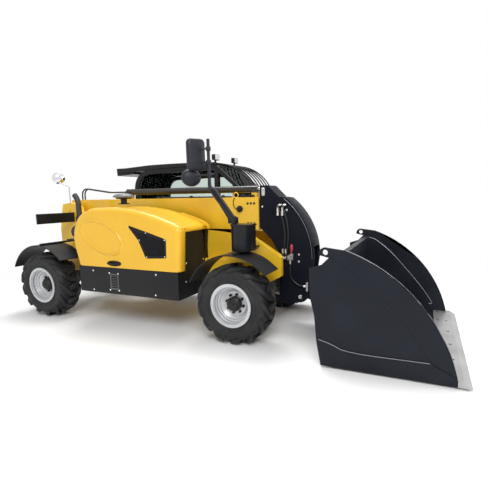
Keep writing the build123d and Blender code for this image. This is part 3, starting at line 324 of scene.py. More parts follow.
@dataclass(frozen=True)
class Lens:
    """Ribbed clear plastic over a bright bowl."""

    colour: Colour = (0.78, 0.77, 0.74)
    shade: Colour = (0.34, 0.34, 0.35)
    ribs: float = 110

    def build(self, name: str) -> bpy.types.Material:
        """Material: vertical ribs, as many to a metre, shade the bowl and raise the face."""
        g = Graph(bpy.data.materials.new(name))
        rib = ((g.axis("Y") * self.ribs) % 1.0 - 0.5) ** 2 * 4
        return g.surface({"Base Color": g.mix(rib, self.colour, self.shade), "Roughness": 0.12 + rib * 0.1,
                          "Coat Weight": 1.0, "Normal": g.bump(rib, 0.002)})


@dataclass(frozen=True)
class Cover:
    """Seat cover: grained black leathercloth with a soft sheen."""

    colour: Colour = (0.028, 0.028, 0.03)
    worn: Colour = (0.07, 0.068, 0.066)

    def build(self, name: str) -> bpy.types.Material:
        """Material: a pebbled grain of two sizes, worn paler in clouds."""
        g = Graph(bpy.data.materials.new(name))
        worn = g.noise(7, 4).between(0.5, 0.8) * 0.6
        grain = g.cells(420) * 0.7 + g.noise(900, 2) * 0.3
        return g.surface({"Base Color": g.mix(worn, self.colour, self.worn), "Roughness": 0.5 + worn * 0.2,
                          "Sheen Weight": 0.15, "Normal": g.bump(grain, 0.0008)})


class Finish(Enum):
    """Every finish on the machine, with the record's material slot that it belongs to."""

    yellow_paint = "yellow_paint", Coat(
        (0.87, 0.53, 0.023), (0.83, 0.50, 0.019), (0.24, 0.34), (260, 0.0003),
        coat=0.3, specular=0.4, dust=0.03)
    yellow_moulding = "yellow_moulding", Coat(
        (0.82, 0.475, 0.026), (0.79, 0.45, 0.022), (0.28, 0.38), (220, 0.0003),
        coat=0.2, specular=0.4, dust=0.02)
    black_paint = "black_paint", Coat(
        (0.008, 0.0085, 0.010), (0.012, 0.0125, 0.015), (0.26, 0.38), (240, 0.0003),
        specular=0.22, dust=0.02)
    skirt_black = "black_paint", Coat(
        (0.008, 0.0085, 0.010), (0.012, 0.0125, 0.014), (0.26, 0.38), (300, 0.0003),
        specular=0.2, dust=0.03)
    bucket_black = "black_paint", Coat(
        (0.010, 0.0115, 0.018), (0.014, 0.016, 0.024), (0.34, 0.46), (180, 0.0003),
        specular=0.16, dust=0.02, dust_height=0.3)
    neck_black = "black_paint", Coat(
        (0.005, 0.006, 0.012), (0.008, 0.009, 0.016), (0.46, 0.58), (220, 0.0003), specular=0.12, dust=0.01)
    tube_black = "black_paint", Coat(
        (0.016, 0.012, 0.010), (0.024, 0.019, 0.016), (0.18, 0.28), (200, 0.0003), coat=0.3, specular=0.4)
    black_plastic = "black_plastic", Coat(
        (0.009, 0.009, 0.010), (0.014, 0.014, 0.016), (0.38, 0.52), (700, 0.0004), specular=0.25, dust=0.02)
    grey_plastic = "black_plastic", Coat(
        (0.017, 0.018, 0.025), (0.022, 0.024, 0.032), (0.36, 0.48), (600, 0.0004), specular=0.25, dust=0)
    cap_grey = "black_plastic", Coat(
        (0.17, 0.18, 0.19), (0.13, 0.14, 0.15), (0.3, 0.42), (300, 0.0004), dust=0)
    louvre_grey = "black_paint", Coat(
        (0.085, 0.087, 0.092), (0.060, 0.062, 0.066), (0.3, 0.42), (300, 0.0003), dust=0.02)
    hose_rubber = "black_plastic", Coat(
        (0.010, 0.010, 0.013), (0.016, 0.016, 0.02), (0.3, 0.42), (900, 0.0004), specular=0.5, dust=0)
    cast_iron = "cast_iron", Coat(
        (0.010, 0.010, 0.011), (0.018, 0.017, 0.017), (0.36, 0.52), (170, 0.0012), specular=0.3)
    rim_silver = "rim_silver", Coat(
        (0.56, 0.57, 0.585), (0.48, 0.49, 0.51), (0.28, 0.40), (300, 0.0003),
        metallic=0.35, coat=0.2, dust=0.03)
    tyre = "tyre", Rubber()
    rod_chrome = "rod_chrome", Coat(
        (0.78, 0.78, 0.80), (0.70, 0.70, 0.73), (0.07, 0.14), (90, 0.0002), metallic=1, dust=0)
    bare_steel = "bare_steel", Coat(
        (0.46, 0.46, 0.46), (0.34, 0.335, 0.33), (0.32, 0.5), (60, 0.0006), (0.08, 1, 1),
        metallic=0.8, dust=0.02)
    bright_zinc = "bare_steel", Coat(
        (0.72, 0.72, 0.70), (0.60, 0.60, 0.58), (0.2, 0.34), (400, 0.0003), metallic=0.9, dust=0)
    # painted highlight: a bright steel tone for thin strips and tubes along plate edges, in place of the
    # light that those edges catch
    worn_edge = "bare_steel", Coat(
        (0.30, 0.31, 0.34), (0.22, 0.225, 0.25), (0.3, 0.45), (120, 0.0004), metallic=0.6, dust=0)
    burnt_steel = "bare_steel", Coat(
        (0.030, 0.030, 0.034), (0.05, 0.048, 0.046), (0.34, 0.5), (150, 0.0006),
        metallic=0.4, specular=0.4, dust=0)
    glass = "glass", Glazing()
    mirror = "mirror", Coat(
        (0.86, 0.88, 0.9), (0.80, 0.82, 0.85), (0.02, 0.05), (20, 0.0001), metallic=1, dust=0)
    lens = "lens", Lens()
    red_cap = "black_plastic", Coat(
        (0.42, 0.035, 0.045), (0.36, 0.028, 0.036), (0.3, 0.4), (500, 0.0003), coat=0.3, dust=0)
    seat_cover = "seat_cover", Cover()

    def __init__(self, slot: str, look: Look) -> None:
        """Keeps the slot's name and the look apart."""
        self.slot, self.look = slot, look


@dataclass
class Shape:
    """A mesh in the making, as whole arrays: points, the corners of its faces, and each face's size."""

    points: Array
    corners: NDArray[np.int64]
    sizes: NDArray[np.int64]

    @staticmethod
    def grid(points: Array, round_rows: bool = False, round_columns: bool = False) -> "Shape":
        """Quads between neighbours of a grid of points.

        Args:
            points: rows by columns by 3.
            round_rows: the last row meets the first.
            round_columns: the last column meets the first.

        Returns:
            The surface.
        """
        index = np.arange(points.shape[0] * points.shape[1]).reshape(points.shape[:2])
        if round_rows:
            index = np.vstack([index, index[:1]])
        if round_columns:
            index = np.hstack([index, index[:, :1]])
        quads = np.stack([index[:-1, :-1], index[1:, :-1], index[1:, 1:], index[:-1, 1:]], -1).reshape(-1)
        return Shape(points.reshape(-1, 3), quads, np.full(len(quads) // 4, 4))

    @staticmethod
    def face(points: Array) -> "Shape":
        """One flat face with these corners in order."""
        return Shape(points, np.arange(len(points)), np.array([len(points)]))

    @staticmethod
    def lofts(rings: Array) -> "Shape":
        """Closed solids through rings of points (solid, ring, corner, 3), with a flat face on each end."""
        index = np.arange(rings.size // 3).reshape(rings.shape[:3])
        ends = np.concatenate([index[:, 0], index[:, -1]])
        index = np.concatenate([index, index[..., :1]], -1)
        quads = np.stack([index[:, :-1, :-1], index[:, 1:, :-1], index[:, 1:, 1:], index[:, :-1, 1:]], -1)
        sizes = np.concatenate([np.full(quads.size // 4, 4), np.full(len(ends), rings.shape[2])])
        return Shape(rings.reshape(-1, 3), np.concatenate([quads.ravel(), ends.ravel()]), sizes)

    @staticmethod
    def loft(rings: Array) -> "Shape":
        """One closed solid through rings of points (ring, corner, 3)."""
        return Shape.lofts(rings[None])

    @staticmethod
    def lathe(profile: Sequence[Pair], steps: int = 48, closed: bool = False) -> "Shape":
        """Profile of (radius, along) turned about Z: (r cos a, r sin a, along) for a round the turn.

        Args:
            profile: its points in order.
            steps: points round the turn.
            closed: the profile's last point meets its first, for a ring with no axis point.

        Returns:
            The turned surface.
        """
        radius, along = np.array(profile, float).T
        a = np.linspace(0, TURN, steps, endpoint=False)[:, None]
        points = np.stack([radius * np.cos(a), radius * np.sin(a), along + 0 * a], -1)
        return Shape.grid(points, round_rows=True, round_columns=closed)

    @staticmethod
    def tube(path: Array, radius: float | Array, sides: int = 12) -> "Shape":
        """Round tube along a path, each ring square to the path there.

        The ring at a point is path + radius (cos a · n + sin a · b), where n and b are two normals
        that stand square to the tangent and to a fixed direction.

        Args:
            path: points along the middle.
            radius: one radius, or one for each point.
            sides: corners of a ring.

        Returns:
            The closed tube.
        """
        tangent = np.gradient(path, axis=0)
        tangent /= np.linalg.norm(tangent, axis=1, keepdims=True)
        spread = np.ptp(tangent, axis=0) + np.abs(tangent).mean(0)
        fixed = np.eye(3)[np.argmin(spread)]
        n = np.cross(tangent, fixed)
        n /= np.linalg.norm(n, axis=1, keepdims=True)
        b = np.cross(tangent, n)
        a = np.linspace(0, TURN, sides, endpoint=False)[:, None]
        r = np.broadcast_to(radius, (len(path),))[:, None, None]
        rings = path[:, None] + r * (np.cos(a) * n[:, None] + np.sin(a) * b[:, None])
        return Shape.loft(rings)

    @staticmethod
    def slab(outline: Array, along: Point) -> "Shape":
        """Flat outline (corner, 3) carried along a vector."""
        return Shape.loft(np.stack([outline, outline + np.array(along)]))

    def __add__(self, other: "Shape") -> "Shape":
        """Both shapes in one mesh."""
        return Shape(np.vstack([self.points, other.points]),
                     np.concatenate([self.corners, other.corners + len(self.points)]),
                     np.concatenate([self.sizes, other.sizes]))

    def turned(self, axes: Array, place: Sequence[float] = (0, 0, 0)) -> "Shape":
        """The shape with its own X, Y and Z along the rows of axes, moved to a place."""
        return Shape(self.points @ np.array(axes, float) + np.array(place), self.corners, self.sizes)

    def moved(self, place: Sequence[float]) -> "Shape":
        """The shape moved by a place."""
        return Shape(self.points + np.array(place), self.corners, self.sizes)

    def mirrored(self) -> "Shape":
        """The shape with its mirror image on the machine's other side."""
        return self + self.turned(FLIP)

    def repeated(self, places: Sequence[Sequence[float]] | Array) -> "Shape":
        """Copies at each place."""
        at = np.array(places, float)
        shift = (np.arange(len(at)) * len(self.points))[:, None]
        return Shape((self.points + at[:, None]).reshape(-1, 3), (self.corners + shift).reshape(-1),
                     np.tile(self.sizes, len(at)))

    def mesh(self, name: str, sharp_deg: float) -> bpy.types.Mesh:
        """Blender mesh with doubles merged, faces outwards and edges over an angle sharp."""
        made = bpy.data.meshes.new(name)
        made.vertices.add(len(self.points))
        made.vertices.foreach_set("co", self.points.astype(np.float32).ravel())
        made.loops.add(len(self.corners))
        made.loops.foreach_set("vertex_index", self.corners.astype(np.int32))
        made.polygons.add(len(self.sizes))
        made.polygons.foreach_set("loop_start", (np.cumsum(self.sizes) - self.sizes).astype(np.int32))
        made.update(calc_edges=True)
        work = bmesh.new()
        work.from_mesh(made)
        bmesh.ops.remove_doubles(work, verts=work.verts, dist=1e-6)
        bmesh.ops.recalc_face_normals(work, faces=work.faces)
        work.to_mesh(made)
        work.free()
        made.shade_smooth()
        made.set_sharp_from_angle(angle=math.radians(sharp_deg))
        return made


OWN_FINISH = {"bucket": Finish.bucket_black, "coupler": Finish.neck_black, "gooseneck": Finish.neck_black,
              "engine_bay": Finish.skirt_black, "extension_barrel": Finish.tube_black,
              "exhaust": Finish.burnt_steel, "rear_mirror": Finish.rod_chrome,
              "mirror_arm": Finish.grey_plastic, "boom_hoses": Finish.hose_rubber,
              "neck_hoses": Finish.hose_rubber, "skirt_louvre": Finish.louvre_grey}
SOFT_EDGES = {"bucket": 0.003, "gooseneck": 0.003, "outer_boom": 0.006, "chassis_rail_left": 0.004,
              "chassis_rail_right": 0.004, "chassis_frame": 0.003, "coupler": 0.003, "canister": 0.006,
              "engine_bay": 0.012, "cab_frame": 0.008, "cab_roof": 0.012, "cab_door": 0.005,
              "side_tank": 0.015, "rear_boards": 0.006, "cutting_edge": 0.002, "front_axle": 0.006,
              "rear_axle": 0.006}


class Workshop:
    """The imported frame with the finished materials, and the one method that adds a piece to it."""

    def __init__(self) -> None:
        """Loads the frame, keeps its box and makes one material for each slot."""
        self.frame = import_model()
        self.cad_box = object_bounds()
        self.axle = np.array([self.box("tyre_rear_left").mean(0)[0], 0, 0])
        self.materials = {finish: finish.look.build(finish.name) for finish in Finish}

    def dress(self) -> None:
        """Gives each node its own finish, or else the one of its slot in the record, and softens plates.

        A plate's or casting's triangles are joined to flat faces before its edges are rounded.
        """
        for row in self.frame["record"]["subparts"]:
            node = self.frame["nodes"][row["node"]]
            finish = OWN_FINISH.get(row["node"], Finish[row["material_slot"]])
            node.data.materials.clear()
            node.data.materials.append(self.materials[finish])
            if row["node"] in SOFT_EDGES:
                node.modifiers.new("join", "WELD").merge_threshold = 1e-5
                flat = node.modifiers.new("flat", "DECIMATE")
                flat.decimate_type, flat.angle_limit = "DISSOLVE", math.radians(0.4)
                self.soften(node, SOFT_EDGES[row["node"]], 40)

    @staticmethod
    def soften(node: bpy.types.Object, width: float, angle_deg: float) -> None:
        """Rounds the edges that bend more than an angle."""
        edge = node.modifiers.new("edge", "BEVEL")
        edge.width, edge.segments, edge.limit_method = width, 2, "ANGLE"
        edge.angle_limit, edge.harden_normals = math.radians(angle_deg), True

    def box(self, node: str) -> Array:
        """Lowest and highest corner of a node."""
        return np.array(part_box(node))

    def piece(self, name: str, shape: Shape, finish: Finish, body: str, stands_for: Sequence[str] = (),
              bevel: float = 0, sharp_deg: float = 32) -> bpy.types.Object:
        """Adds a finished piece.

        Args:
            name: its name in the table.
            shape: its surface, in the row frame.
            finish: its finish, which belongs to one of the record's material slots.
            body: the body that it moves with.
            stands_for: the nodes that it replaces.
            bevel: width of a rounded edge in metres, or 0 for none.
            sharp_deg: edges that bend more than this stay sharp.

        Returns:
            The piece's object.
        """
        made = bpy.data.objects.new(name, shape.mesh(name, sharp_deg))
        bpy.context.scene.collection.objects.link(made)
        made.data.materials.append(self.materials[finish])
        if bevel:
            self.soften(made, bevel, sharp_deg)
        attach(made, body)
        if stands_for:
            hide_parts(*stands_for)
        LOG.info("%s: %d faces on %s", name, len(shape.sizes), body)
        return made

    def fit(self, name: str, shape: Shape, finish: Finish, body: str, bevel: float = 0,
            sharp_deg: float = 32, stands_for: Sequence[str] = ()) -> bpy.types.Object:
        """Adds a piece whose shape is measured along the machine from the rear axle."""
        return self.piece(name, shape.moved(self.axle), finish, body, stands_for, bevel, sharp_deg)


@dataclass(frozen=True)
class Studio:
    """Pale floor that fades to white, soft lamps and the photograph's camera."""

    eye: Point = (2.3079, -4.0446, 1.511)
    yaw: float = 0.3964
    pitch: float = -0.1528
    roll: float = -0.0152
    lens: float = 27.43
    shift: Pair = (-0.0505, 0.0208)
    floor_half: float = 40
    floor_tone: Colour = (0.96, 0.96, 0.96)
    fade: Pair = (3.2, 6.5)
    sky: float = 0.5
    lamps: tuple[tuple[str, Point, Point, float, float], ...] = (
        ("key", (3.5, -6.5, 6.5), (0, 0, 0.6), 4.0, 430), ("side", (8.5, 1.0, 4.5), (1, 0, 0.6), 3.0, 220),
        ("top", (-1.5, 1.5, 8.0), (0, 0, 0.8), 4.0, 420))

    def build(self) -> None:
        """Makes the floor, the world, the lamps and the camera."""
        bpy.context.scene.view_settings.view_transform = "Standard"
        self.floor()
        self.world()
        for lamp in self.lamps:
            self.lamp(*lamp)
        self.camera()

    def floor(self) -> None:
        """Flat floor; beyond the fade's outer radius it glows as white as the backdrop."""
        h = self.floor_half
        corners = np.array([(-h, -h, 0), (h, -h, 0), (h, h, 0), (-h, h, 0)], float)
        made = bpy.data.objects.new("floor", Shape.face(corners).mesh("floor", 30))
        bpy.context.scene.collection.objects.link(made)
        g = Graph(bpy.data.materials.new("floor"))
        away = g.node("ShaderNodeVectorMath", {"operation": "LENGTH"}, {0: g.place()}, "Value")
        pale = g.node("ShaderNodeBsdfDiffuse", {}, {"Color": self.floor_tone})
        white = g.node("ShaderNodeEmission", {}, {"Color": (1, 1, 1)})
        made.data.materials.append(g.end(g.node(
            "ShaderNodeMixShader", {}, {0: away.between(*self.fade), 1: pale, 2: white})))
        made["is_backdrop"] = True

    def world(self) -> None:
        """White backdrop to the eye, in gloss and through glass, and a plain pale light otherwise."""
        g = Graph(bpy.data.worlds.new("studio"))
        camera, gloss, glass = (g.node("ShaderNodeLightPath", output=f"Is {ray} Ray")
                                for ray in ("Camera", "Glossy", "Transmission"))
        seen = camera.most(gloss.most(glass))
        strength = g.node("ShaderNodeMapRange", {}, {"Value": seen, "To Min": self.sky})
        light = g.node("ShaderNodeBackground", {}, {"Color": (1, 1, 1), "Strength": strength})
        bpy.context.scene.world = g.end(light, "World")

    def lamp(self, name: str, place: Point, target: Point, size: float, watts: float) -> None:
        """Square soft lamp at a place, turned to a target."""
        data = bpy.data.lights.new(name, "AREA")
        data.size, data.energy = size, watts
        made = bpy.data.objects.new(name, data)
        bpy.context.scene.collection.objects.link(made)
        made.location = place
        made.rotation_euler = (Vector(target) - Vector(place)).to_track_quat("-Z", "Y").to_euler()

    def camera(self) -> None:
        """Camera at the photograph's eye, turned by yaw about Z, then pitch, then roll."""
        data = bpy.data.cameras.new("camera")
        data.sensor_width, data.lens = 36, self.lens
        data.shift_x, data.shift_y = self.shift
        made = bpy.data.objects.new("camera", data)
        bpy.context.scene.collection.objects.link(made)
        turn = (Matrix.Rotation(self.yaw, 4, "Z") @ Matrix.Rotation(math.pi / 2 + self.pitch, 4, "X")
                @ Matrix.Rotation(self.roll, 4, "Z"))
        made.matrix_world = Matrix.Translation(self.eye) @ turn
        bpy.context.scene.camera = made


def rounded(corners: Sequence[tuple[float, ...]], steps: int = 6, closed: bool = True) -> Array:
    """Outline with each corner rounded by its own radius.

    A corner (a, b, r) becomes the arc about a centre on the corner's bisector; its points are the
    two radii to the straight sides, blended by the sine rule so that they stay on the circle.

    Args:
        corners: (a, b, radius) of each corner in order; a radius may be left out.
        steps: points on each arc.
        closed: the last corner joins the first; otherwise the two ends stay as they are.

    Returns:
        The outline's points, (n, 2).
    """
    table = np.array([(*c, 1e-4)[:3] for c in corners], float)
    p, r = table[:, :2], table[:, 2:3]
    to_last, to_next = np.roll(p, 1, 0) - p, np.roll(p, -1, 0) - p
    to_last /= np.linalg.norm(to_last, axis=1, keepdims=True)
    to_next /= np.linalg.norm(to_next, axis=1, keepdims=True)
    half = np.arccos(np.clip((to_last * to_next).sum(1, keepdims=True), -0.9999, 0.9999)) / 2
    bisector = (to_last + to_next) / np.linalg.norm(to_last + to_next, axis=1, keepdims=True)
    centre = p + bisector * r / np.sin(half)
    first = p + to_last * r / np.tan(half) - centre
    last = p + to_next * r / np.tan(half) - centre
    sweep = (math.pi - 2 * half)[:, None]
    t = np.linspace(0, 1, steps)[None, :, None]
    arcs = (np.sin((1 - t) * sweep) * first[:, None] + np.sin(t * sweep) * last[:, None]) / np.sin(sweep)
    points = arcs + centre[:, None]
    if not closed:
        return np.vstack([p[:1], points[1:-1].reshape(-1, 2), p[-1:]])
    return points.reshape(-1, 2)


def even(points: Array, count: int) -> Array:
    """Points of a line, spaced evenly along it."""
    step = np.linalg.norm(np.diff(points, axis=0), axis=1)
    length = np.concatenate([[0], np.cumsum(step)])
    at = np.linspace(0, length[-1], count)
    return np.stack([np.interp(at, length, column) for column in points.T], -1)


def upright(points: Array, y: float) -> Array:
    """Points (x, z) of a side view, set at y."""
    return np.stack([points[:, 0], np.full(len(points), y), points[:, 1]], -1)


def eased(corners: Sequence[Sequence[float]], times: int = 4) -> Array:
    """Line through corners, eased by cutting each corner at a quarter of its sides, some times over."""
    p = np.array(corners, float)
    for _ in range(times):
        cut = np.stack([0.75 * p[:-1] + 0.25 * p[1:], 0.25 * p[:-1] + 0.75 * p[1:]], 1)
        p = np.vstack([p[:1], cut.reshape(-1, p.shape[1]), p[-1:]])
    return p


def plate(corners: Sequence[tuple[float, ...]], y: float, depth: float, steps: int = 4) -> Shape:
    """Flat plate with a rounded outline in side view, from y on by a depth."""
    return Shape.slab(upright(rounded(corners, steps), y), (0, depth, 0))


def box_corners(x: Pair, z: Pair, radius: float) -> Corners:
    """Four corners of a box in side view, all rounded alike."""
    return tuple((a, b, radius) for a, b in ((x[0], z[0]), (x[1], z[0]), (x[1], z[1]), (x[0], z[1])))


def on_right(part: Shape, places: Sequence[Sequence[float]], y: float) -> Shape:
    """Copies of a fastener at places (x, z), facing the right-hand side at y."""
    return part.turned(TO_RIGHT).repeated(upright(np.array(places, float), y))


def arc_through(p: Pair, q: Pair, r: Pair, inset: float, steps: int) -> Array:
    """Arc from p to r on the circle through three points, moved towards its middle by an inset."""
    p, q, r = (np.array(v, float) for v in (p, q, r))
    middle = np.linalg.solve(2 * np.array([q - p, r - p]), np.array([q @ q - p @ p, r @ r - p @ p]))
    start, end = (math.atan2(*(v - middle)[::-1]) for v in (p, r))
    a = np.linspace(start, end, steps)
    return middle + (np.linalg.norm(p - middle) - inset) * np.stack([np.cos(a), np.sin(a)], -1)


def screw(radius: float, height: float) -> Shape:
    """Button-headed screw on a washer, standing along Z."""
    return Shape.lathe([(0, height), (0.35 * radius, 0.97 * height), (0.72 * radius, 0.78 * height),
                        (radius, 0.35 * height), (radius, 0.2 * height), (1.3 * radius, 0.2 * height),
                        (1.3 * radius, -0.3 * height), (0, -0.3 * height)], 20)


def hex_bolt(radius: float, height: float) -> Shape:
    """Washer, six-sided head and a domed tip, standing along Z: rings of six or twelve corners lofted."""
    a = np.linspace(0, TURN, 12, endpoint=False)
    hexagon = radius / np.cos((a + TURN / 12) % (TURN / 6) - TURN / 12)
    ring = np.stack([np.cos(a), np.sin(a), 0 * a], -1)
    up = np.array([0, 0, height])
    washer = np.stack([ring * radius * 1.45 - up * 0.15, ring * radius * 1.45 + up * 0.15])
    six = ring * hexagon[:, None]
    head = np.stack([six, six + up * 0.85, ring * radius * 0.84 + up])
    return Shape.loft(washer) + Shape.loft(head)


@dataclass(frozen=True)
class Wheels:
    """Lugged tyres on the four wheels, with the rings of their rims and the nuts of their hubs.

    A tyre's section is a rounded rectangle |w / a|^n + |(r - r0) / b|^n = 1 above r0, the lugs' tips
    on the outer one and the carcass on one that is a lug's depth smaller. Profiles are (radius, along),
    along the axle and outwards; the guard is counted from the bead's side, the ribs from the carcass's.
    """

    lugs: int = 13
    lug_depth: float = 0.036
    lug_half: Pair = (0.040, 0.026)
    lug_reach: Pair = (0.22, math.pi / 2 + 0.16)
    lug_rise: tuple[float, ...] = (0, 0.9, 1, 1, 0.9, 0)
    lug_spread: tuple[float, ...] = (-1.22, -1.0, -0.9, 0.9, 1.0, 1.22)
    lug_root: Pair = (0.03, 0.012)
    sweep: float = 0.46
    bulge_radius: float = 0.305
    squareness: float = 3.6
    carcass_in: float = 0.013
    bead_half: float = 0.1235
    guard: Line = ((0.2105, 0), (0.2315, 0), (0.240, 0.006), (0.247, 0.009), (0.250, 0.005))
    ribs: Line = ((0.268, -0.012), (0.270, -0.008), (0.286, -0.004), (0.288, -0.007))
    rim_bead: Line = ((0.2035, 0.127), (0.2005, 0.127), (0.1955, 0.126), (0.1925, 0.121),
                      (0.1925, 0.111), (0.1955, 0.106), (0.2005, 0.105), (0.2035, 0.105))
    rim_step: Line = ((0.2035, 0.090), (0.2005, 0.090), (0.1930, 0.0895), (0.1880, 0.086),
                      (0.1850, 0.080), (0.1840, 0.070), (0.1810, 0.066), (0.1700, 0.0635),
                      (0.1660, 0.060), (0.1640, 0.054), (0.1640, 0.042), (0.2035, 0.042))
    nuts: int = 8
    nut_start: float = 0.2
    nut_circle: float = 0.098
    cap_circle: float = 0.044
    disc_in: float = 0.068
    bolts: Line = ((0.011, 0.026), (0.006, 0.006), (0.013, 0.008))

    def build(self, shop: Workshop) -> None:
        """Adds the tyre, the rim's rings and the hub's fittings of each wheel."""
        for wheel in ("front_left", "front_right", "rear_left", "rear_right"):
            low, high = shop.box(f"tyre_{wheel}")
            centre, side = (low + high) / 2, math.copysign(1, low[1])
            radius, half = (high[2] - low[2]) / 2, (high[1] - low[1]) / 2
            face = (centre[0], shop.box(f"hub_{wheel}")[int(side > 0), 1], centre[2])
            axes, body = np.diag([1, side, 1.0]), f"wheel_{wheel}"
            tyre = self.carcass(radius, half) + self.tread(radius, half)
            shop.piece(f"lugged_tyre_{wheel}", tyre.turned(axes, centre), Finish.tyre, body,
                       [f"tyre_{wheel}"], sharp_deg=24)
            rings = Shape.lathe(self.rim_bead, 64, True) + Shape.lathe(self.rim_step, 64, True)
            rings = rings.turned(TO_LEFT).turned(axes, centre)
            shop.piece(f"rim_rings_{wheel}", rings, Finish.rim_silver, body)
            shop.piece(f"hub_fittings_{wheel}", self.fittings().turned(axes, face), Finish.cast_iron, body)

    def section(self, angle: Array, width: float, height: float) -> tuple[Array, Array]:
        """Offset w and radius r on the rounded rectangle, at an angle from the bulge (0) to the crown."""
        power = 2 / self.squareness
        w = width * np.sign(np.cos(angle)) * np.abs(np.cos(angle)) ** power
        return w, self.bulge_radius + height * np.abs(np.sin(angle)) ** power

    def carcass(self, radius: float, half: float) -> Shape:
        """Carcass turned about Y: bead, rim guard, two sidewall ribs and the tread between the lugs."""
        width, height = half - self.carcass_in, radius - self.lug_depth - self.bulge_radius
        w, r = self.section(np.linspace(0.02, math.pi - 0.02, 40), width, height)
        wall = np.vstack([np.array(self.guard) + (0, self.bead_half), np.array(self.ribs) + (0, width)])
        across = np.concatenate([wall[:, 1], w, -wall[::-1, 1]])
        out = np.concatenate([wall[:, 0], r, wall[::-1, 0]])
        a = np.linspace(0, TURN, 96, endpoint=False)[:, None]
        points = np.stack([out * np.sin(a), across + 0 * a, out * np.cos(a)], -1)
        return Shape.grid(points, round_rows=True, round_columns=True)

    def tread(self, radius: float, half: float) -> Shape:
        """Two staggered rows of lugs: a bevelled section carried from the sidewall past the crown.

        At t along a lug its middle lies on the tips' section, its angle round the wheel runs ahead by
        sweep · t^1.25, and its half width narrows from the shoulder to the crown.
        """
        t = np.linspace(0, 1, 12)
        along = self.lug_reach[0] + t * (self.lug_reach[1] - self.lug_reach[0])
        side, depth = self.lug_root
        top_w, top_r = self.section(along, half, radius - self.bulge_radius)
        root = radius - self.lug_depth - depth - self.bulge_radius
        base_w, base_r = self.section(along, half - side, root)
        reach = self.lug_half[0] + (self.lug_half[1] - self.lug_half[0]) * t
        rise, spread = np.array(self.lug_rise), np.array(self.lug_spread)
        w = base_w[:, None] + (top_w - base_w)[:, None] * rise
        r = base_r[:, None] + (top_r - base_r)[:, None] * rise
        angle = (self.sweep * t ** 1.25)[:, None] + spread * reach[:, None] / radius
        pitch = TURN / self.lugs
        lug = np.arange(self.lugs)[:, None, None] * pitch
        rows = [(1, 0.0), (-1, 0.5 * pitch)]
        a = np.concatenate([angle + lug + shift for _, shift in rows])
        flank = np.concatenate([np.broadcast_to(s * w, (self.lugs, *w.shape)) for s, _ in rows])
        return Shape.lofts(np.stack([r * np.sin(a), flank, r * np.cos(a)], -1))

    def fittings(self) -> Shape:
        """Ring of nuts on the disc, a ring of cap screws and the filler plug on the hub's face at y 0."""
        a = np.arange(self.nuts) * TURN / self.nuts + self.nut_start
        ring = np.stack([np.sin(a), 0 * a, np.cos(a)], -1)
        nut, cap, plug = (hex_bolt(*size).turned(TO_LEFT) for size in self.bolts)
        nuts = nut.repeated(ring * self.nut_circle + (0, -self.disc_in, 0))
        return nuts + cap.repeated(ring * self.cap_circle + (0, -0.0005, 0)) + plug


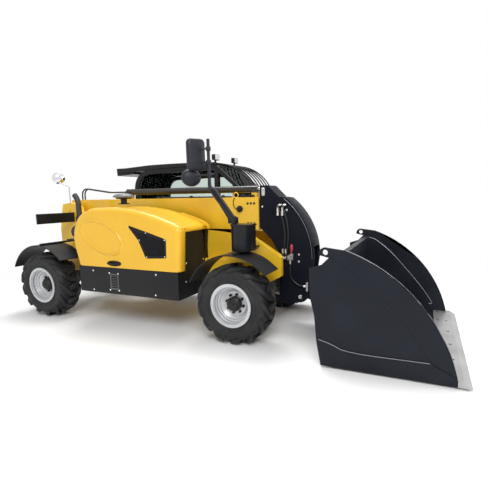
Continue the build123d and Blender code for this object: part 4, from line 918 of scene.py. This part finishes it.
@dataclass(frozen=True)
class Hood:
    """Moulded engine hood with a rounded outer edge, an oval bead and a rolled hole for the grille.

    Places along the machine are measured from the rear axle, which the rear wheels give.
    """

    outer_y: float = -0.840
    edge: float = 0.060
    wall: float = 0.010
    hole_round: float = 0.010
    hole_depth: float = 0.016
    inner_y: float = -0.2925
    lip: float = 0.05
    fall: float = 0.036
    brow: Pair = (2.204, 1.192)
    profile: Corners = ((0.704, 0.729), (0.612, 1.087, 0.42), (0.745, 1.335, 0.28),
                        (0.960, 1.413, 0.35), (1.560, 1.428, 2.4), (2.100, 1.252, 0.3),
                        (2.204, 1.192, 0.072), (2.175, 0.729))
    grille: Corners = ((1.496, 1.229, 0.012), (2.020, 1.079, 0.02), (2.012, 0.875, 0.015),
                       (1.736, 0.861, 0.015), (1.647, 1.057, 0.3))
    oval_centre: Pair = (1.117, 1.078)
    oval_half: Pair = (0.313, 0.166)
    oval_turn: float = -0.37
    oval_ridge: Pair = (0.021, 0.018)

    def build(self, shop: Workshop) -> None:
        """Adds the moulding in place of its plain node, faces outwards, and gives it a wall."""
        made = shop.fit("moulded_hood", self.moulding(), Finish.yellow_moulding, "hood", sharp_deg=40,
                        stands_for=["hood"])
        faces = made.data.polygons
        facing, area = np.empty(3 * len(faces), np.float32), np.empty(len(faces), np.float32)
        faces.foreach_get("normal", facing)
        faces.foreach_get("area", area)
        if facing[1::3] @ area > 0:
            made.data.flip_normals()
        wall = made.modifiers.new("wall", "SOLIDIFY")
        wall.thickness, wall.offset = self.wall, -1

    @staticmethod
    def ring(outline: Array, inset: float) -> Array:
        """Outline moved inwards by a distance, with its two ends kept on the hood's bottom edge."""
        along = np.gradient(outline, axis=0)
        along[1:-1] = outline[2:] - outline[:-2]
        along /= np.linalg.norm(along, axis=1, keepdims=True)
        moved = outline + inset * np.stack([along[:, 1], -along[:, 0]], -1)
        ends = [0, -1]
        moved[ends] -= along[ends] * ((moved[ends, 1] - outline[0, 1]) / along[ends, 1])[:, None]
        return moved

    def moulding(self) -> Shape:
        """Skin: a band round the outline, a quarter-round edge and the side with its grille hole.

        The edge at angle a is the outline inset by e(1 - cos a) at y + e(1 - sin a). The side's lines run
        from each point of the inset outline to the grille's edge in the same direction from its middle,
        and roll in there by a quarter-round of their own.
        """
        outline = even(rounded(self.profile, 24, False), 230)
        brow = int(np.argmin(np.linalg.norm(outline - self.brow, axis=1)))
        edge = np.stack([upright(self.ring(outline, self.edge * (1 - math.cos(a))),
                                 self.outer_y + self.edge * (1 - math.sin(a)))
                         for a in np.linspace(0, math.pi / 2, 9)], 1)
        top, lip = edge[:brow + 1, 0], edge[brow:, 0]
        band = Shape.grid(edge)
        for start, steps, y in ((top, 6, self.inner_y), (lip, 3, self.outer_y + self.edge + self.lip)):
            across = np.repeat(start[:, None], steps, 1)
            across[..., 1] += np.linspace(0, 1, steps) * (y - start[:, 1:2])
            band = band + Shape.grid(across)
        down = (outline[-1] - outline[-20]) / np.linalg.norm(outline[-1] - outline[-20])
        fall = outline[brow] + np.linspace(0, self.fall, 3)[:, None] * down
        over = np.linspace(top[-1, 1], self.inner_y, 4)
        band = band + Shape.grid(np.stack([upright(fall, y) for y in over]))
        sill = np.linspace(edge[-1, -1], edge[0, -1], 110)[1:-1]
        rim = np.vstack([edge[:, -1], sill])[:, [0, 2]]
        hole = rounded(self.grille, 10)
        hole = even(np.vstack([hole, hole[:1]]), 1600)
        middle = hole.mean(0)
        bearing, wanted = (np.arctan2(*(line - middle).T[::-1]) for line in (hole, rim))
        order = np.argsort(bearing)
        reach = np.interp(wanted, bearing[order], np.linalg.norm(hole - middle, axis=1)[order], period=TURN)
        out = np.stack([np.cos(wanted), np.sin(wanted)], -1)
        inner = middle + reach[:, None] * out
        inwards = inner + self.hole_round * out - rim
        flat = rim[:, None] + np.linspace(0, 1, 86)[:, None] * inwards[:, None]
        roll = np.linspace(0, math.pi / 2, 6)[1:]
        curl = inner[:, None] + self.hole_round * (1 - np.sin(roll))[:, None] * out[:, None]
        rolled = self.hole_round * (1 - np.cos(roll))
        deep = np.concatenate([np.zeros(flat.shape[1]), rolled, [self.hole_depth]])
        x, z = np.moveaxis(np.concatenate([flat, curl, inner[:, None]], 1), -1, 0)
        skin = np.stack([x, self.outer_y + deep - self.swelling(x, z), z], -1)
        return band + Shape.grid(skin, round_rows=True)

    def swelling(self, x: Array, z: Array) -> Array:
        """Height of the oval bead: a squared cosine of the distance d to the ellipse.

        In the ellipse's own axes (u, v), rho = |(u / a, v / b)| and d is about
        (rho - 1) rho / |(u / a², v / b²)|.
        """
        c, d = math.cos(self.oval_turn), math.sin(self.oval_turn)
        dx, dz = x - self.oval_centre[0], z - self.oval_centre[1]
        u, v = dx * c + dz * d, dz * c - dx * d
        a, b = self.oval_half
        rho = np.hypot(u / a, v / b)
        away = (rho - 1) * rho / np.hypot(u / a ** 2, v / b ** 2)
        return self.oval_ridge[1] * np.cos(np.clip(away / self.oval_ridge[0], -1, 1) * math.pi / 2) ** 2


@dataclass(frozen=True)
class HoodTrim:
    """Latch, grille mesh and the small screws of the hood, the skirt and the panel ahead of the engine.

    Places are (x, z) on the side, measured from the rear axle, or (y, z) on the front panel. The latch's
    dish is given as (size, depth) of its rings.
    """

    hood_y: float = -0.840
    skirt_y: float = -0.834
    panel_x: float = 2.150
    screws: Pair = (0.0062, 0.0085)
    latch: Pair = (1.278, 0.780)
    latch_half: Pair = (0.092, 0.028)
    latch_dish: Line = ((1.16, 0.004), (1.14, -0.005), (1.05, -0.008), (0.96, -0.005), (0.90, -0.0015),
                        (0.4, -0.001), (0.01, -0.001))
    mesh_y: float = -0.8365
    mesh_pitch: float = 0.0125
    mesh_half: float = 0.0016
    mesh_top: Line = ((1.496, 1.229), (2.020, 1.079))
    mesh_low: Line = ((1.496, 1.229), (1.590, 1.140), (1.647, 1.057), (1.736, 0.861), (2.012, 0.875),
                      (2.020, 1.079))
    grille_screws: Line = ((1.519, 1.213), (1.755, 1.142), (2.003, 1.071), (1.996, 0.889),
                           (1.748, 0.875), (1.661, 1.062))
    skirt_screws: Line = ((0.934, 0.676), (0.925, 0.445), (1.859, 0.684), (1.841, 0.451),
                          (1.185, 0.660), (1.317, 0.660), (1.182, 0.460), (1.317, 0.460))
    panel_screws: Line = ((-0.668, 0.800), (-0.690, 0.596), (-0.330, 0.794), (-0.330, 0.600))

    def build(self, shop: Workshop) -> None:
        """Adds each set on the body that carries it."""
        shop.fit("hood_latch", self.handle(), Finish.black_plastic, "hood")
        shop.fit("grille_mesh", self.mesh(), Finish.black_paint, "hood")
        small, large = (screw(radius, 0.9 * radius) for radius in self.screws)
        grille = on_right(small, self.grille_screws, self.mesh_y)
        skirt = on_right(large, self.skirt_screws, self.skirt_y)
        panel = screw(self.screws[1], 0.008).turned(TO_FRONT)
        panel = panel.repeated([(self.panel_x, *at) for at in self.panel_screws])
        for name, shape, body in (("grille", grille, "hood"), ("skirt", skirt, "chassis"),
                                  ("panel", panel, "chassis")):
            shop.fit(f"{name}_screws", shape, Finish.bright_zinc, body)

    def handle(self) -> Shape:
        """Oval dish with a rolled rim, and a bow grip across it whose ends sink into the rim."""
        a = np.linspace(0, TURN, 48, endpoint=False)
        middle, half = np.array(self.latch), np.array(self.latch_half)
        oval = half * np.stack([np.cos(a), np.sin(a)], -1)
        rings = np.stack([upright(middle + oval * size, self.hood_y + y) for size, y in self.latch_dish])
        t = np.linspace(0, 1, 25)
        bow = np.sin(math.pi * t)
        grip = np.stack([middle[0] + (t - 0.5) * 1.9 * half[0], self.hood_y - 0.004 - 0.016 * bow,
                         middle[1] + 0.012 - 0.020 * bow], -1)
        return Shape.loft(rings) + Shape.tube(grip, 0.0075 + 0.003 * bow, 12)

    def mesh(self) -> Shape:
        """Square mesh of flat bars, each cut where it meets the grille's edge."""
        top, low = np.array(self.mesh_top), np.array(self.mesh_low)
        x = np.arange(top[0, 0] + 0.02, top[-1, 0] - 0.004, self.mesh_pitch)
        z = np.arange(low[:, 1].min() + 0.01, top[0, 1] - 0.012, self.mesh_pitch)
        left, right = low[3::-1], np.vstack([low[3:], top[:1]])
        stand = np.stack([np.stack([x, np.interp(x, *line.T)], -1) for line in (low, top)], 1)
        lie = np.stack([np.stack([np.interp(z, *line.T[::-1]), z], -1) for line in (left, right)], 1)
        return self.bars(stand, (1, 0), self.mesh_y) + self.bars(lie, (0, 1), self.mesh_y + 0.0008)

    def bars(self, ends: Array, across: Pair, y: float) -> Shape:
        """Flat bars between pairs of ends (bar, end, 2), as wide as the mesh's wire."""
        corner = np.array([(-1, -1), (1, -1), (1, 1), (-1, 1)]) * self.mesh_half
        flat = ends[:, :, None] + corner[:, :1] * np.array(across)
        depth = np.broadcast_to(y + corner[:, 1] * 0.5, flat.shape[:3])
        return Shape.lofts(np.stack([flat[..., 0], depth, flat[..., 1]], -1))


@dataclass(frozen=True)
class BoomTrim:
    """Round cap with its cable, bolts, lifting ring, pipes and hose clamps on the boom.

    Places are from the rear axle. The cable's points are counted from the cap's middle.
    """

    side_y: float = -0.150
    top_z: float = 1.510
    cap: Pair = (2.565, 1.377)
    cap_profile: Line = ((0, 0.046), (0.020, 0.046), (0.024, 0.042), (0.024, 0.032), (0.032, 0.030),
                         (0.034, 0.026), (0.034, 0.010), (0.038, 0.008), (0.038, -0.002), (0, -0.002))
    cable: tuple[Point, ...] = ((-0.02, -0.02, 0), (-0.06, -0.02, 0.01), (-0.085, -0.008, 0.06),
                                (-0.080, -0.006, 0.11), (-0.060, -0.006, 0.128))
    bolt_x: Point = (2.665, 2.706, 2.747)
    bolt_z: Pair = (1.441, 1.212)
    ring: Point = (2.490, -0.100, 0.030)
    ring_thick: float = 0.006
    pipe_x: Pair = (1.360, 2.430)
    pipe_y: Pair = (-0.127, -0.103)
    pipe_radius: float = 0.009
    clamps: tuple[float, ...] = (1.440, 1.880, 2.330, 2.560, 2.612, 2.664, 2.716)
    clamp_y: Pair = (-0.138, -0.092)
    clamp_side: Corners = ((-0.016, -0.002), (0.016, -0.002), (0.016, 0.012, 0.003),
                           (0.010, 0.026, 0.005), (-0.010, 0.026, 0.005), (-0.016, 0.012, 0.003))

    def build(self, shop: Workshop) -> None:
        """Adds the cap with its cable on the right, the bolts on both sides and the fittings on top."""
        hub = (self.cap[0], self.side_y, self.cap[1])
        cap = Shape.lathe(self.cap_profile, 28).turned(TO_RIGHT, hub)
        cable = Shape.tube(eased(np.array(self.cable) + hub), 0.004, 8)
        shop.fit("boom_cap", cap + cable, Finish.black_plastic, "boom")
        spots = [(x, z) for x in self.bolt_x for z in self.bolt_z]
        bolts = on_right(hex_bolt(0.010, 0.009), spots, self.side_y)
        shop.fit("boom_bolts", bolts.mirrored(), Finish.burnt_steel, "boom")
        shop.fit("lifting_ring", self.lifting_ring(), Finish.yellow_paint, "boom")
        shop.fit("boom_pipes", self.pipes(), Finish.burnt_steel, "boom")
        shop.fit("hose_clamps", self.saddles(), Finish.black_plastic, "boom", bevel=0.002)

    def pipes(self) -> Shape:
        """Two rigid pipes along the boom's top, with both ends bent down into its wall."""
        (rear, ahead), z = self.pipe_x, self.top_z + self.pipe_radius + 0.001
        low, bend = z - 0.013, 0.05
        side = eased([(rear, low), (rear, z), (rear + bend, z),
                      (ahead - bend, z), (ahead, z), (ahead, low)], 3)
        first, second = (Shape.tube(upright(side, y), self.pipe_radius) for y in self.pipe_y)
        return first + second

    def lifting_ring(self) -> Shape:
        """Ring that stands along the boom's top, sunk into its weld."""
        x, y, r = self.ring
        a, b = np.linspace(0, TURN, 33)[:-1, None], np.linspace(0, TURN, 13)[:-1]
        out = r + self.ring_thick * np.cos(b)
        points = np.stack([x + out * np.cos(a), y + self.ring_thick * np.sin(b) + 0 * a,
                           self.top_z + r - 0.003 + out * np.sin(a)], -1)
        return Shape.grid(points, round_rows=True, round_columns=True)

    def saddles(self) -> Shape:
        """Clamps in a row: a stepped saddle with a bolt on each."""
        near, far = self.clamp_y
        bolt = hex_bolt(0.006, 0.007).moved((0, (near + far) / 2, 0.025))
        saddle = plate(self.clamp_side, near, far - near) + bolt
        return saddle.repeated([(x, 0, self.top_z) for x in self.clamps])


@dataclass(frozen=True)
class NeckFittings:
    """Steel elbows, collars, coupler and bolts on the right of the gooseneck, from the rear axle."""

    hose_y: float = -0.150
    side_y: float = -0.130
    bore: float = 0.0128
    tops: Pair = (3.036, 3.090)
    top_z: float = 1.405
    lows: Pair = (3.092, 3.128)
    low_z: float = 0.860
    sleeve: Line = ((0.011, 0.05), (0.0145, 0.049), (0.0150, 0.040), (0.0138, 0.036), (0.0150, 0.032),
                    (0.0138, 0.027), (0.0150, 0.022), (0.0150, 0.004), (0.011, 0))
    coupler: Pair = (3.197, 0.882)
    grip: Line = ((0.017, 0.030), (0.0185, 0.033), (0.0185, 0.039), (0.017, 0.042))
    grip_pitch: float = 0.018
    block: Pair = (3.181, 0.833)
    block_side: Line = ((-0.030, -0.026), (0.036, -0.026), (0.036, 0.046), (0.006, 0.046),
                        (-0.030, 0.020))
    ports: Line = ((-0.012, -0.004), (0.018, -0.004), (0.018, 0.026))
    loop_end: Pair = (3.376, 0.517)
    pin: Pair = (3.302, 0.391)
    pin_ring: Line = ((0, 0.010), (0.012, 0.010), (0.014, 0.016), (0.021, 0.017), (0.024, 0.014),
                      (0.024, -0.003), (0, -0.003))
    bolts: Line = ((2.840, 1.402), (3.275, 0.869), (3.274, 0.790), (3.135, 1.364))
    plate: Pair = (2.862, 1.570)
    flange: Line = ((3.121, 1.503), (3.345, 1.240), (3.449, 0.825))
    flange_in: float = 0.018
    flange_y: float = 0.144

    def build(self, shop: Workshop) -> None:
        """Adds the bright fittings, the red coupler, the manifold, painted highlights along the flange's
        edges and the bolted plate.
        """
        # thin bright tube along each flange edge: a painted highlight
        line = Shape.tube(upright(arc_through(*self.flange, self.flange_in, 40), -self.flange_y), 0.0026, 8)
        add = {"hose_elbows": (self.elbows(), Finish.bright_zinc, 0),
               "hose_collars": (self.collars(), Finish.bright_zinc, 0),
               "quick_coupler": (self.red(), Finish.red_cap, 0),
               "hose_manifold": (self.manifold(), Finish.bare_steel, 0.003),
               "neck_bolts": (self.bolted(), Finish.bright_zinc, 0),
               "flange_edge_highlights": (line.mirrored(), Finish.worn_edge, 0),
               "neck_plate": (self.strap(), Finish.bright_zinc, 0.0015)}
        for name, (shape, finish, bevel) in add.items():
            shop.fit(name, shape, finish, "inner_boom", bevel)

    def elbows(self) -> Shape:
        """Bends at both ends of the two long hoses: up and over at the top, a U at the bottom."""
        z, low, (a, b) = self.top_z, self.low_z, self.lows
        first, second = ([(x, z - 0.075), (x, z + 0.014), (x + 0.046, z + 0.014)] for x in self.tops)
        bend = [(a, low + 0.045), (a, low - 0.040), (b, low - 0.040), (b, low + 0.045)]
        tubes = [Shape.tube(upright(eased(path), self.hose_y), self.bore) for path in (first, second, bend)]
        return tubes[0] + tubes[1] + tubes[2]

    def collars(self) -> Shape:
        """Crimped sleeves where a hose meets its fitting."""
        sleeve = Shape.lathe(self.sleeve, 20)
        places = [(x, self.hose_y, self.top_z - 0.105) for x in self.tops]
        places += [(x, self.hose_y, self.low_z + 0.02) for x in self.lows]
        places += [(self.block[0], self.hose_y, self.block[1] - 0.075)]
        x, z = self.loop_end
        return sleeve.repeated(places) + sleeve.turned(TO_FRONT, (x - 0.046, self.hose_y, z))

    def red(self) -> Shape:
        """Coupler with three grip rings and a domed dust cap."""
        x, z = self.coupler
        steps = [(0, 0), (0.012, 0), (0.012, 0.028)]
        steps += [(r, v + k * self.grip_pitch) for k in range(3) for r, v in self.grip]
        steps += [(0.014, 0.088), (0.012, 0.100), (0.006, 0.106), (0, 0.107)]
        return Shape.lathe(steps, 24).moved((x, self.hose_y, z))

    def manifold(self) -> Shape:
        """Small block with ports, and the bracket under the lower hose's end."""
        (x, z), (ex, ez) = self.block, self.loop_end
        outline = [(x + a, z + b, 0.006) for a, b in self.block_side]
        block = plate(outline, self.hose_y - 0.019, 0.042)
        spots = [(x + a, z + b) for a, b in self.ports]
        ports = on_right(hex_bolt(0.009, 0.012), spots, self.hose_y - 0.018)
        foot = box_corners((ex - 0.008, ex + 0.014), (ez - 0.055, ez + 0.050), 0.008)
        return block + ports + plate(foot, self.hose_y - 0.016, 0.030)

    def bolted(self) -> Shape:
        """Bolts on the side plate, and the foot pin's ring with its cap."""
        ring = on_right(Shape.lathe(self.pin_ring, 28), [self.pin], self.side_y - 0.014)
        return on_right(hex_bolt(0.0085, 0.009), self.bolts, self.side_y) + ring

    def strap(self) -> Shape:
        """Upright steel plate with two bolts at the boom's end of the neck."""
        x, z = self.plate
        outline = box_corners((x - 0.019, x + 0.019), (z - 0.047, z + 0.047), 0.012)
        bolts = on_right(hex_bolt(0.0085, 0.009), [(x, z - 0.027), (x, z + 0.027)], self.side_y - 0.024)
        return plate(outline, self.side_y - 0.023, 0.024, 5) + bolts


@dataclass(frozen=True)
class Fixtures:
    """Mirror strut, cowl and gusset beside the hood, intake cap and visor box, from the rear axle."""

    strut: Corners = ((2.530, 1.588, 0.010), (2.574, 1.606, 0.010), (2.748, 1.330, 0.02),
                      (2.790, 1.310, 0.008), (2.790, 1.246, 0.004), (2.690, 1.246, 0.004),
                      (2.690, 1.300, 0.03))
    strut_y: Pair = (-0.652, -0.718)
    strut_z: Pair = (1.27, 1.60)
    strut_depth: float = 0.047
    intake: Point = (1.165, -0.5, 1.524)
    intake_profile: Line = ((0, 0.056), (0.04, 0.0545), (0.08, 0.049), (0.106, 0.039), (0.120, 0.027),
                            (0.124, 0.018), (0.121, 0.010), (0.112, 0.006), (0.100, 0.007),
                            (0.094, 0.002), (0, 0.002))
    visor: Corners = ((0.392, 1.948, 0.012), (0.396, 1.842, 0.012), (0.700, 1.858, 0.02),
                      (0.760, 1.948, 0.004))
    visor_y: Pair = (0.214, 0.784)
    gusset: Corners = ((2.158, 0.792), (2.446, 0.792), (2.566, 1.092, 0.01), (2.400, 1.112, 0.02),
                       (2.158, 1.134))
    gusset_y: Pair = (-0.2300, -0.2155)
    cowl: Corners = ((1.815, 1.337, 0.004), (1.950, 1.298, 0.8), (2.100, 1.250, 0.3),
                     (2.202, 1.190, 0.066), (2.197, 1.156, 0.004), (2.160, 1.156, 0.004),
                     (2.080, 1.234, 0.1), (1.812, 1.315, 0.004))
    cowl_panel: Corners = ((2.136, 0.794), (2.149, 0.794), (2.175, 1.175), (2.155, 1.180))
    cowl_y: Pair = (-0.2890, -0.2160)

    def build(self, shop: Workshop) -> None:
        """Adds each fixture on its body."""
        flat = rounded(self.strut, 5)
        lean = np.interp(flat[:, 1], self.strut_z, self.strut_y) - self.strut_depth / 2
        strut = Shape.slab(np.stack([flat[:, 0], lean, flat[:, 1]], -1), (0, self.strut_depth, 0))
        cap = Shape.lathe(self.intake_profile, 56).moved(self.intake)
        cowl, panel, visor, gusset = (plate(corners, y[0], y[1] - y[0], steps) for corners, y, steps in (
            (self.cowl, self.cowl_y, 5), (self.cowl_panel, self.cowl_y, 5), (self.visor, self.visor_y, 5),
            (self.gusset, self.gusset_y, 4)))
        add = {"hood_cowl": (cowl, Finish.yellow_moulding, "chassis", 0.003),
               "cowl_panel": (panel, Finish.skirt_black, "chassis", 0),
               "mirror_strut": (strut, Finish.black_paint, "chassis", 0.004),
               "rail_gusset": (gusset, Finish.yellow_paint, "chassis", 0.002),
               "intake_cap": (cap, Finish.cap_grey, "hood", 0),
               "visor_box": (visor, Finish.black_paint, "chassis", 0.004)}
        for name, values in add.items():
            shop.fit(name, *values)


@dataclass(frozen=True)
class Mirrors:
    """Right-hand mirrors: bent arm and pole, moulded housing, bowl below it and clamps, from the rear axle.

    The housing's rings are one rounded outline, scaled from its flat back to its domed front and drawn in
    towards its top and bottom.
    """

    arm: tuple[Point, ...] = ((2.750, -0.660, 1.2415), (2.750, -0.660, 1.285), (2.516, -0.720, 1.600),
                              (2.516, -0.720, 1.680), (2.516, -0.720, 2.093))
    thick: Pair = (0.022, 0.016)
    thins: Pair = (1.58, 1.70)
    turn: float = math.radians(-38)
    flat: Point = (2.368, -0.720, 1.948)
    bowl: Point = (2.300, -0.720, 1.720)
    housing_half: Pair = (0.100, 0.160)
    housing_round: float = 0.044
    waist: float = 0.09
    swell: Line = ((0.93, -0.0215), (0.985, -0.024), (1.0, -0.019), (1.0, 0.0), (0.985, 0.010),
                   (0.94, 0.019), (0.86, 0.026), (0.74, 0.031), (0.50, 0.035), (0.2, 0.037))
    dish: Line = ((0, -0.0215), (0.078, -0.0215), (0.083, -0.024), (0.089, -0.020), (0.092, -0.008),
                  (0.090, 0.006), (0.081, 0.022), (0.062, 0.038), (0.034, 0.048), (0, 0.051))
    oval: float = 1.14
    stays: Pair = (1.998, 1.868)
    clamp: Line = ((0.014, 0.022), (0.023, 0.021), (0.025, 0.016), (0.025, -0.016), (0.023, -0.021),
                   (0.014, -0.022))

    def build(self, shop: Workshop) -> None:
        """Adds the set in place of its plain node."""
        c, s = math.cos(self.turn), math.sin(self.turn)
        axes = np.array([(c, s, 0), (-s, c, 0), (0, 0, 1)])
        path = eased(self.arm, 3)
        shape = Shape.tube(path, np.interp(path[:, 2], self.thins, self.thick), 16)
        bowl = Shape.lathe(self.dish, 48).turned(TO_FRONT).turned(np.diag([1, self.oval, 1]))
        shape = shape + self.housing().turned(axes, self.flat) + bowl.turned(axes, self.bowl)
        x, y = self.arm[-1][:2]
        end = self.flat[0] + 0.012
        stays = [((x + 0.004, z), (x - 0.06, z + 0.004), (end, z)) for z in self.stays]
        stays += [((x + 0.004, 1.743), (x - 0.09, 1.740), (self.bowl[0] + 0.022, 1.726))]
        for stay in stays:
            shape = shape + Shape.tube(upright(eased(stay, 2), y), 0.009, 12)
        clamps = Shape.lathe(self.clamp, 20).repeated([(x, y, stay[0][1]) for stay in stays])
        shop.fit("mirror_set", shape + clamps, Finish.grey_plastic, "chassis", sharp_deg=40,
                 stands_for=["mirror_arm"])

    def housing(self) -> Shape:
        """Moulded housing about its own middle: X ahead, Y across and Z up."""
        a, b = self.housing_half
        flat = rounded(box_corners((-a, a), (-b, b), self.housing_round), 8)
        points = np.stack([np.column_stack([np.full(len(flat), ahead), flat * size])
                           for size, ahead in self.swell])
        points[..., 1] *= 1 - self.waist * (points[..., 2] / b) ** 2
        return Shape.loft(points)


@dataclass(frozen=True)
class BucketTrim:
    """Doubling bands, painted highlights along the front edges, wear plates and inner rails, and dark discs
    of painted shade in the cutting edge's bolt holes, from the rear axle.

    The front arc is the circle through three points of the side plate's edge.
    """

    arc: Line = ((4.847, 0.080), (4.530, 0.680), (3.958, 1.057))
    groove: Line = ((4.640, 0.186), (4.525, 0.380), (4.400, 0.545), (4.266, 0.683), (4.070, 0.839),
                    (3.960, 0.923), (3.815, 1.020))
    crest: Line = ((3.900, 1.058), (3.815, 1.064))
    wear: Line = ((3.731, 0.258), (3.852, 0.228), (3.976, 0.169), (4.644, 0.179))
    rail: Line = ((3.890, 0.966), (3.960, 0.953), (4.068, 0.876), (4.175, 0.786), (4.357, 0.584),
                  (4.537, 0.378), (4.672, 0.186), (4.690, 0.140), (4.650, 0.145))
    side: float = 0.975
    wall: float = 0.025
    wear_side: float = 0.983
    thick: float = 0.005
    bead: float = 0.0035
    # offset of the painted highlight strip along the front arc
    worn: Point = (0.0015, 0, 0.0012)
    edge_top: float = 0.064
    # dark disc a little above the cutting edge: painted shade in place of a bolt hole's depth
    hole: Line = ((0, 0.0006), (0.0135, 0.0006), (0.0150, 0.0), (0.0150, -0.004), (0, -0.004))
    hole_x: Pair = (4.838, 4.748)
    hole_y: tuple[float, ...] = (-0.90, -0.556, -0.185, 0.185, 0.556, 0.90)
    plug: Line = ((0, 0.0003), (0.0122, 0.0003), (0.0122, -0.01), (0, -0.01))
    plug_x: Pair = (4.822, 4.739)
    plugs: int = 9
    plug_in: float = 0.09

    def build(self, shop: Workshop) -> None:
        """Adds the bands, the bright lines of painted highlight and the marks of the cutting edge, whose
        bolt holes are dark discs of painted shade.
        """
        inside = self.wall - self.side
        near, far = (upright(arc_through(*self.arc, 0, 72), y) for y in (-self.side, inside))
        # bright tubes on the wear plates' tops and the inner rails, and a strip along the front arc:
        # painted highlights
        lines = Shape.tube(upright(eased(self.wear, 2), -self.wear_side), self.bead, 8)
        lines = lines + Shape.slab(np.vstack([near, far[::-1]]), self.worn)
        lines = lines + Shape.tube(upright(eased(self.rail, 3), inside), self.bead + 0.0015, 8)
        half = self.side - self.wall - self.plug_in
        plugs = [(x, y, self.edge_top) for x in self.plug_x for y in np.linspace(-half, half, self.plugs)]
        holes = [(x, y, self.edge_top) for x in self.hole_x for y in self.hole_y]
        add = {"bucket_bands": (self.band().mirrored(), Finish.bucket_black, 0.0015),
               # painted highlights along the bucket's edges
               "bucket_edge_highlights": (lines.mirrored(), Finish.worn_edge, 0),
               "edge_plugs": (Shape.lathe(self.plug, 20).repeated(plugs), Finish.bare_steel, 0),
               # dark discs of painted shade for the cutting edge's bolt holes
               "edge_hole_shades": (Shape.lathe(self.hole, 24).repeated(holes), Finish.black_paint, 0)}
        for name, (shape, finish, bevel) in add.items():
            shop.fit(name, shape, finish, "bucket", bevel)

    def band(self) -> Shape:
        """Doubling band of the right-hand side plate, between its front arc and the groove."""
        edge = arc_through(*self.arc, 0.004, 72)[3:-1]
        line = eased(np.vstack([[edge[0] + (-0.05, 0.0)], self.groove]), 3)
        outline = np.vstack([edge, self.crest, line[::-1]])
        return Shape.slab(upright(outline, -self.side), (0, -self.thick, 0))


@dataclass(frozen=True)
class Seat:
    """Driver's seat: a stand with bellows, and two stuffed cushions with sewn channels, at the seat's node.

    A cushion is |x / a|^n + |y / b|^n + |z / c|^2 = 1, crowned in its middle, with channels pressed in.
    """

    stand_half: Pair = (0.18, 0.14)
    stand_round: float = 0.03
    stand_rise: float = 0.25
    folds: int = 13
    fold_in: float = 0.05
    lean: float = math.atan2(0.07, 0.41)
    squareness: float = 5.0
    channels: int = 4
    press: float = 0.006

    def build(self, shop: Workshop) -> None:
        """Adds the stand in place of the plain node, then the cushions."""
        low, high = shop.box("seat")
        middle, base = (low + high) / 2, low[2]
        a, b = self.stand_half
        outline = rounded(box_corners((-a, a), (-b, b), self.stand_round), 5)
        rings = np.stack([np.column_stack([outline * (1 - self.fold_in * (fold % 2)),
                                           np.full(len(outline), base + 0.002 + t * self.stand_rise)])
                          for fold, t in enumerate(np.linspace(0, 1, self.folds))])
        stand = Shape.loft(rings).moved((middle[0] + 0.02, middle[1], 0))
        shop.piece("seat_stand", stand, Finish.black_plastic, "chassis", ["seat"], sharp_deg=50)
        wide, rise = (high[1] - low[1]) / 2 - 0.012, base + 0.255
        c, s = math.cos(self.lean), math.sin(self.lean)
        back = np.array([(-s, 0, c), (0, 1, 0), (-c, 0, -s)])
        places = {"seat_cushion": (0.225, 0.052, np.eye(3), (low[0] + 0.305, middle[1], rise + 0.048)),
                  "seat_back": (0.205, 0.046, back, (low[0] + 0.075, middle[1], rise + 0.305))}
        for name, (long, thick, axes, place) in places.items():
            shape = self.cushion(long, wide, thick).turned(axes, place)
            shop.piece(name, shape, Finish.seat_cover, "chassis", sharp_deg=80)

    def cushion(self, long: float, wide: float, thick: float) -> Shape:
        """Stuffed form: a rounded square of rings, crowned above, with its channels across the middle."""
        a = np.linspace(0, TURN, 96, endpoint=False)
        power = 2 / self.squareness
        square = np.stack([np.sign(v) * np.abs(v) ** power for v in (np.cos(a), np.sin(a))], -1)
        tilt = np.linspace(-math.pi / 2, math.pi / 2, 41)
        out = np.abs(np.cos(tilt)) ** 0.42
        x = long * out[:, None] * square[:, 0]
        y = wide * out[:, None] * square[:, 1] * (1 - 0.05 * (x / long) ** 2)
        top = np.maximum(np.sin(tilt), 0)[:, None]
        groove = np.exp(-((x / long * self.channels * 0.7 + 0.5) % 1.0 - 0.5) ** 2 / 0.006)
        edge = np.clip(1.4 - np.abs(y) / wide * 1.4, 0, 1) * np.clip(2 - np.abs(x) / long * 2, 0, 1)
        crown = 1 + 0.18 * np.cos(y / wide * math.pi / 2)
        z = thick * np.sin(tilt)[:, None] * crown - self.press * groove * edge * top
        return Shape.grid(np.stack([x, y, z], -1), round_columns=True)


def main() -> None:
    """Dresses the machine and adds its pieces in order."""
    logging.basicConfig(level=logging.INFO, format="%(message)s")
    Studio().build()
    shop = Workshop()
    shop.dress()
    for group in (Wheels, Hood, HoodTrim, BoomTrim, NeckFittings, Fixtures, Mirrors, BucketTrim, Seat):
        group().build(shop)


if __name__ == "__main__":
    main()
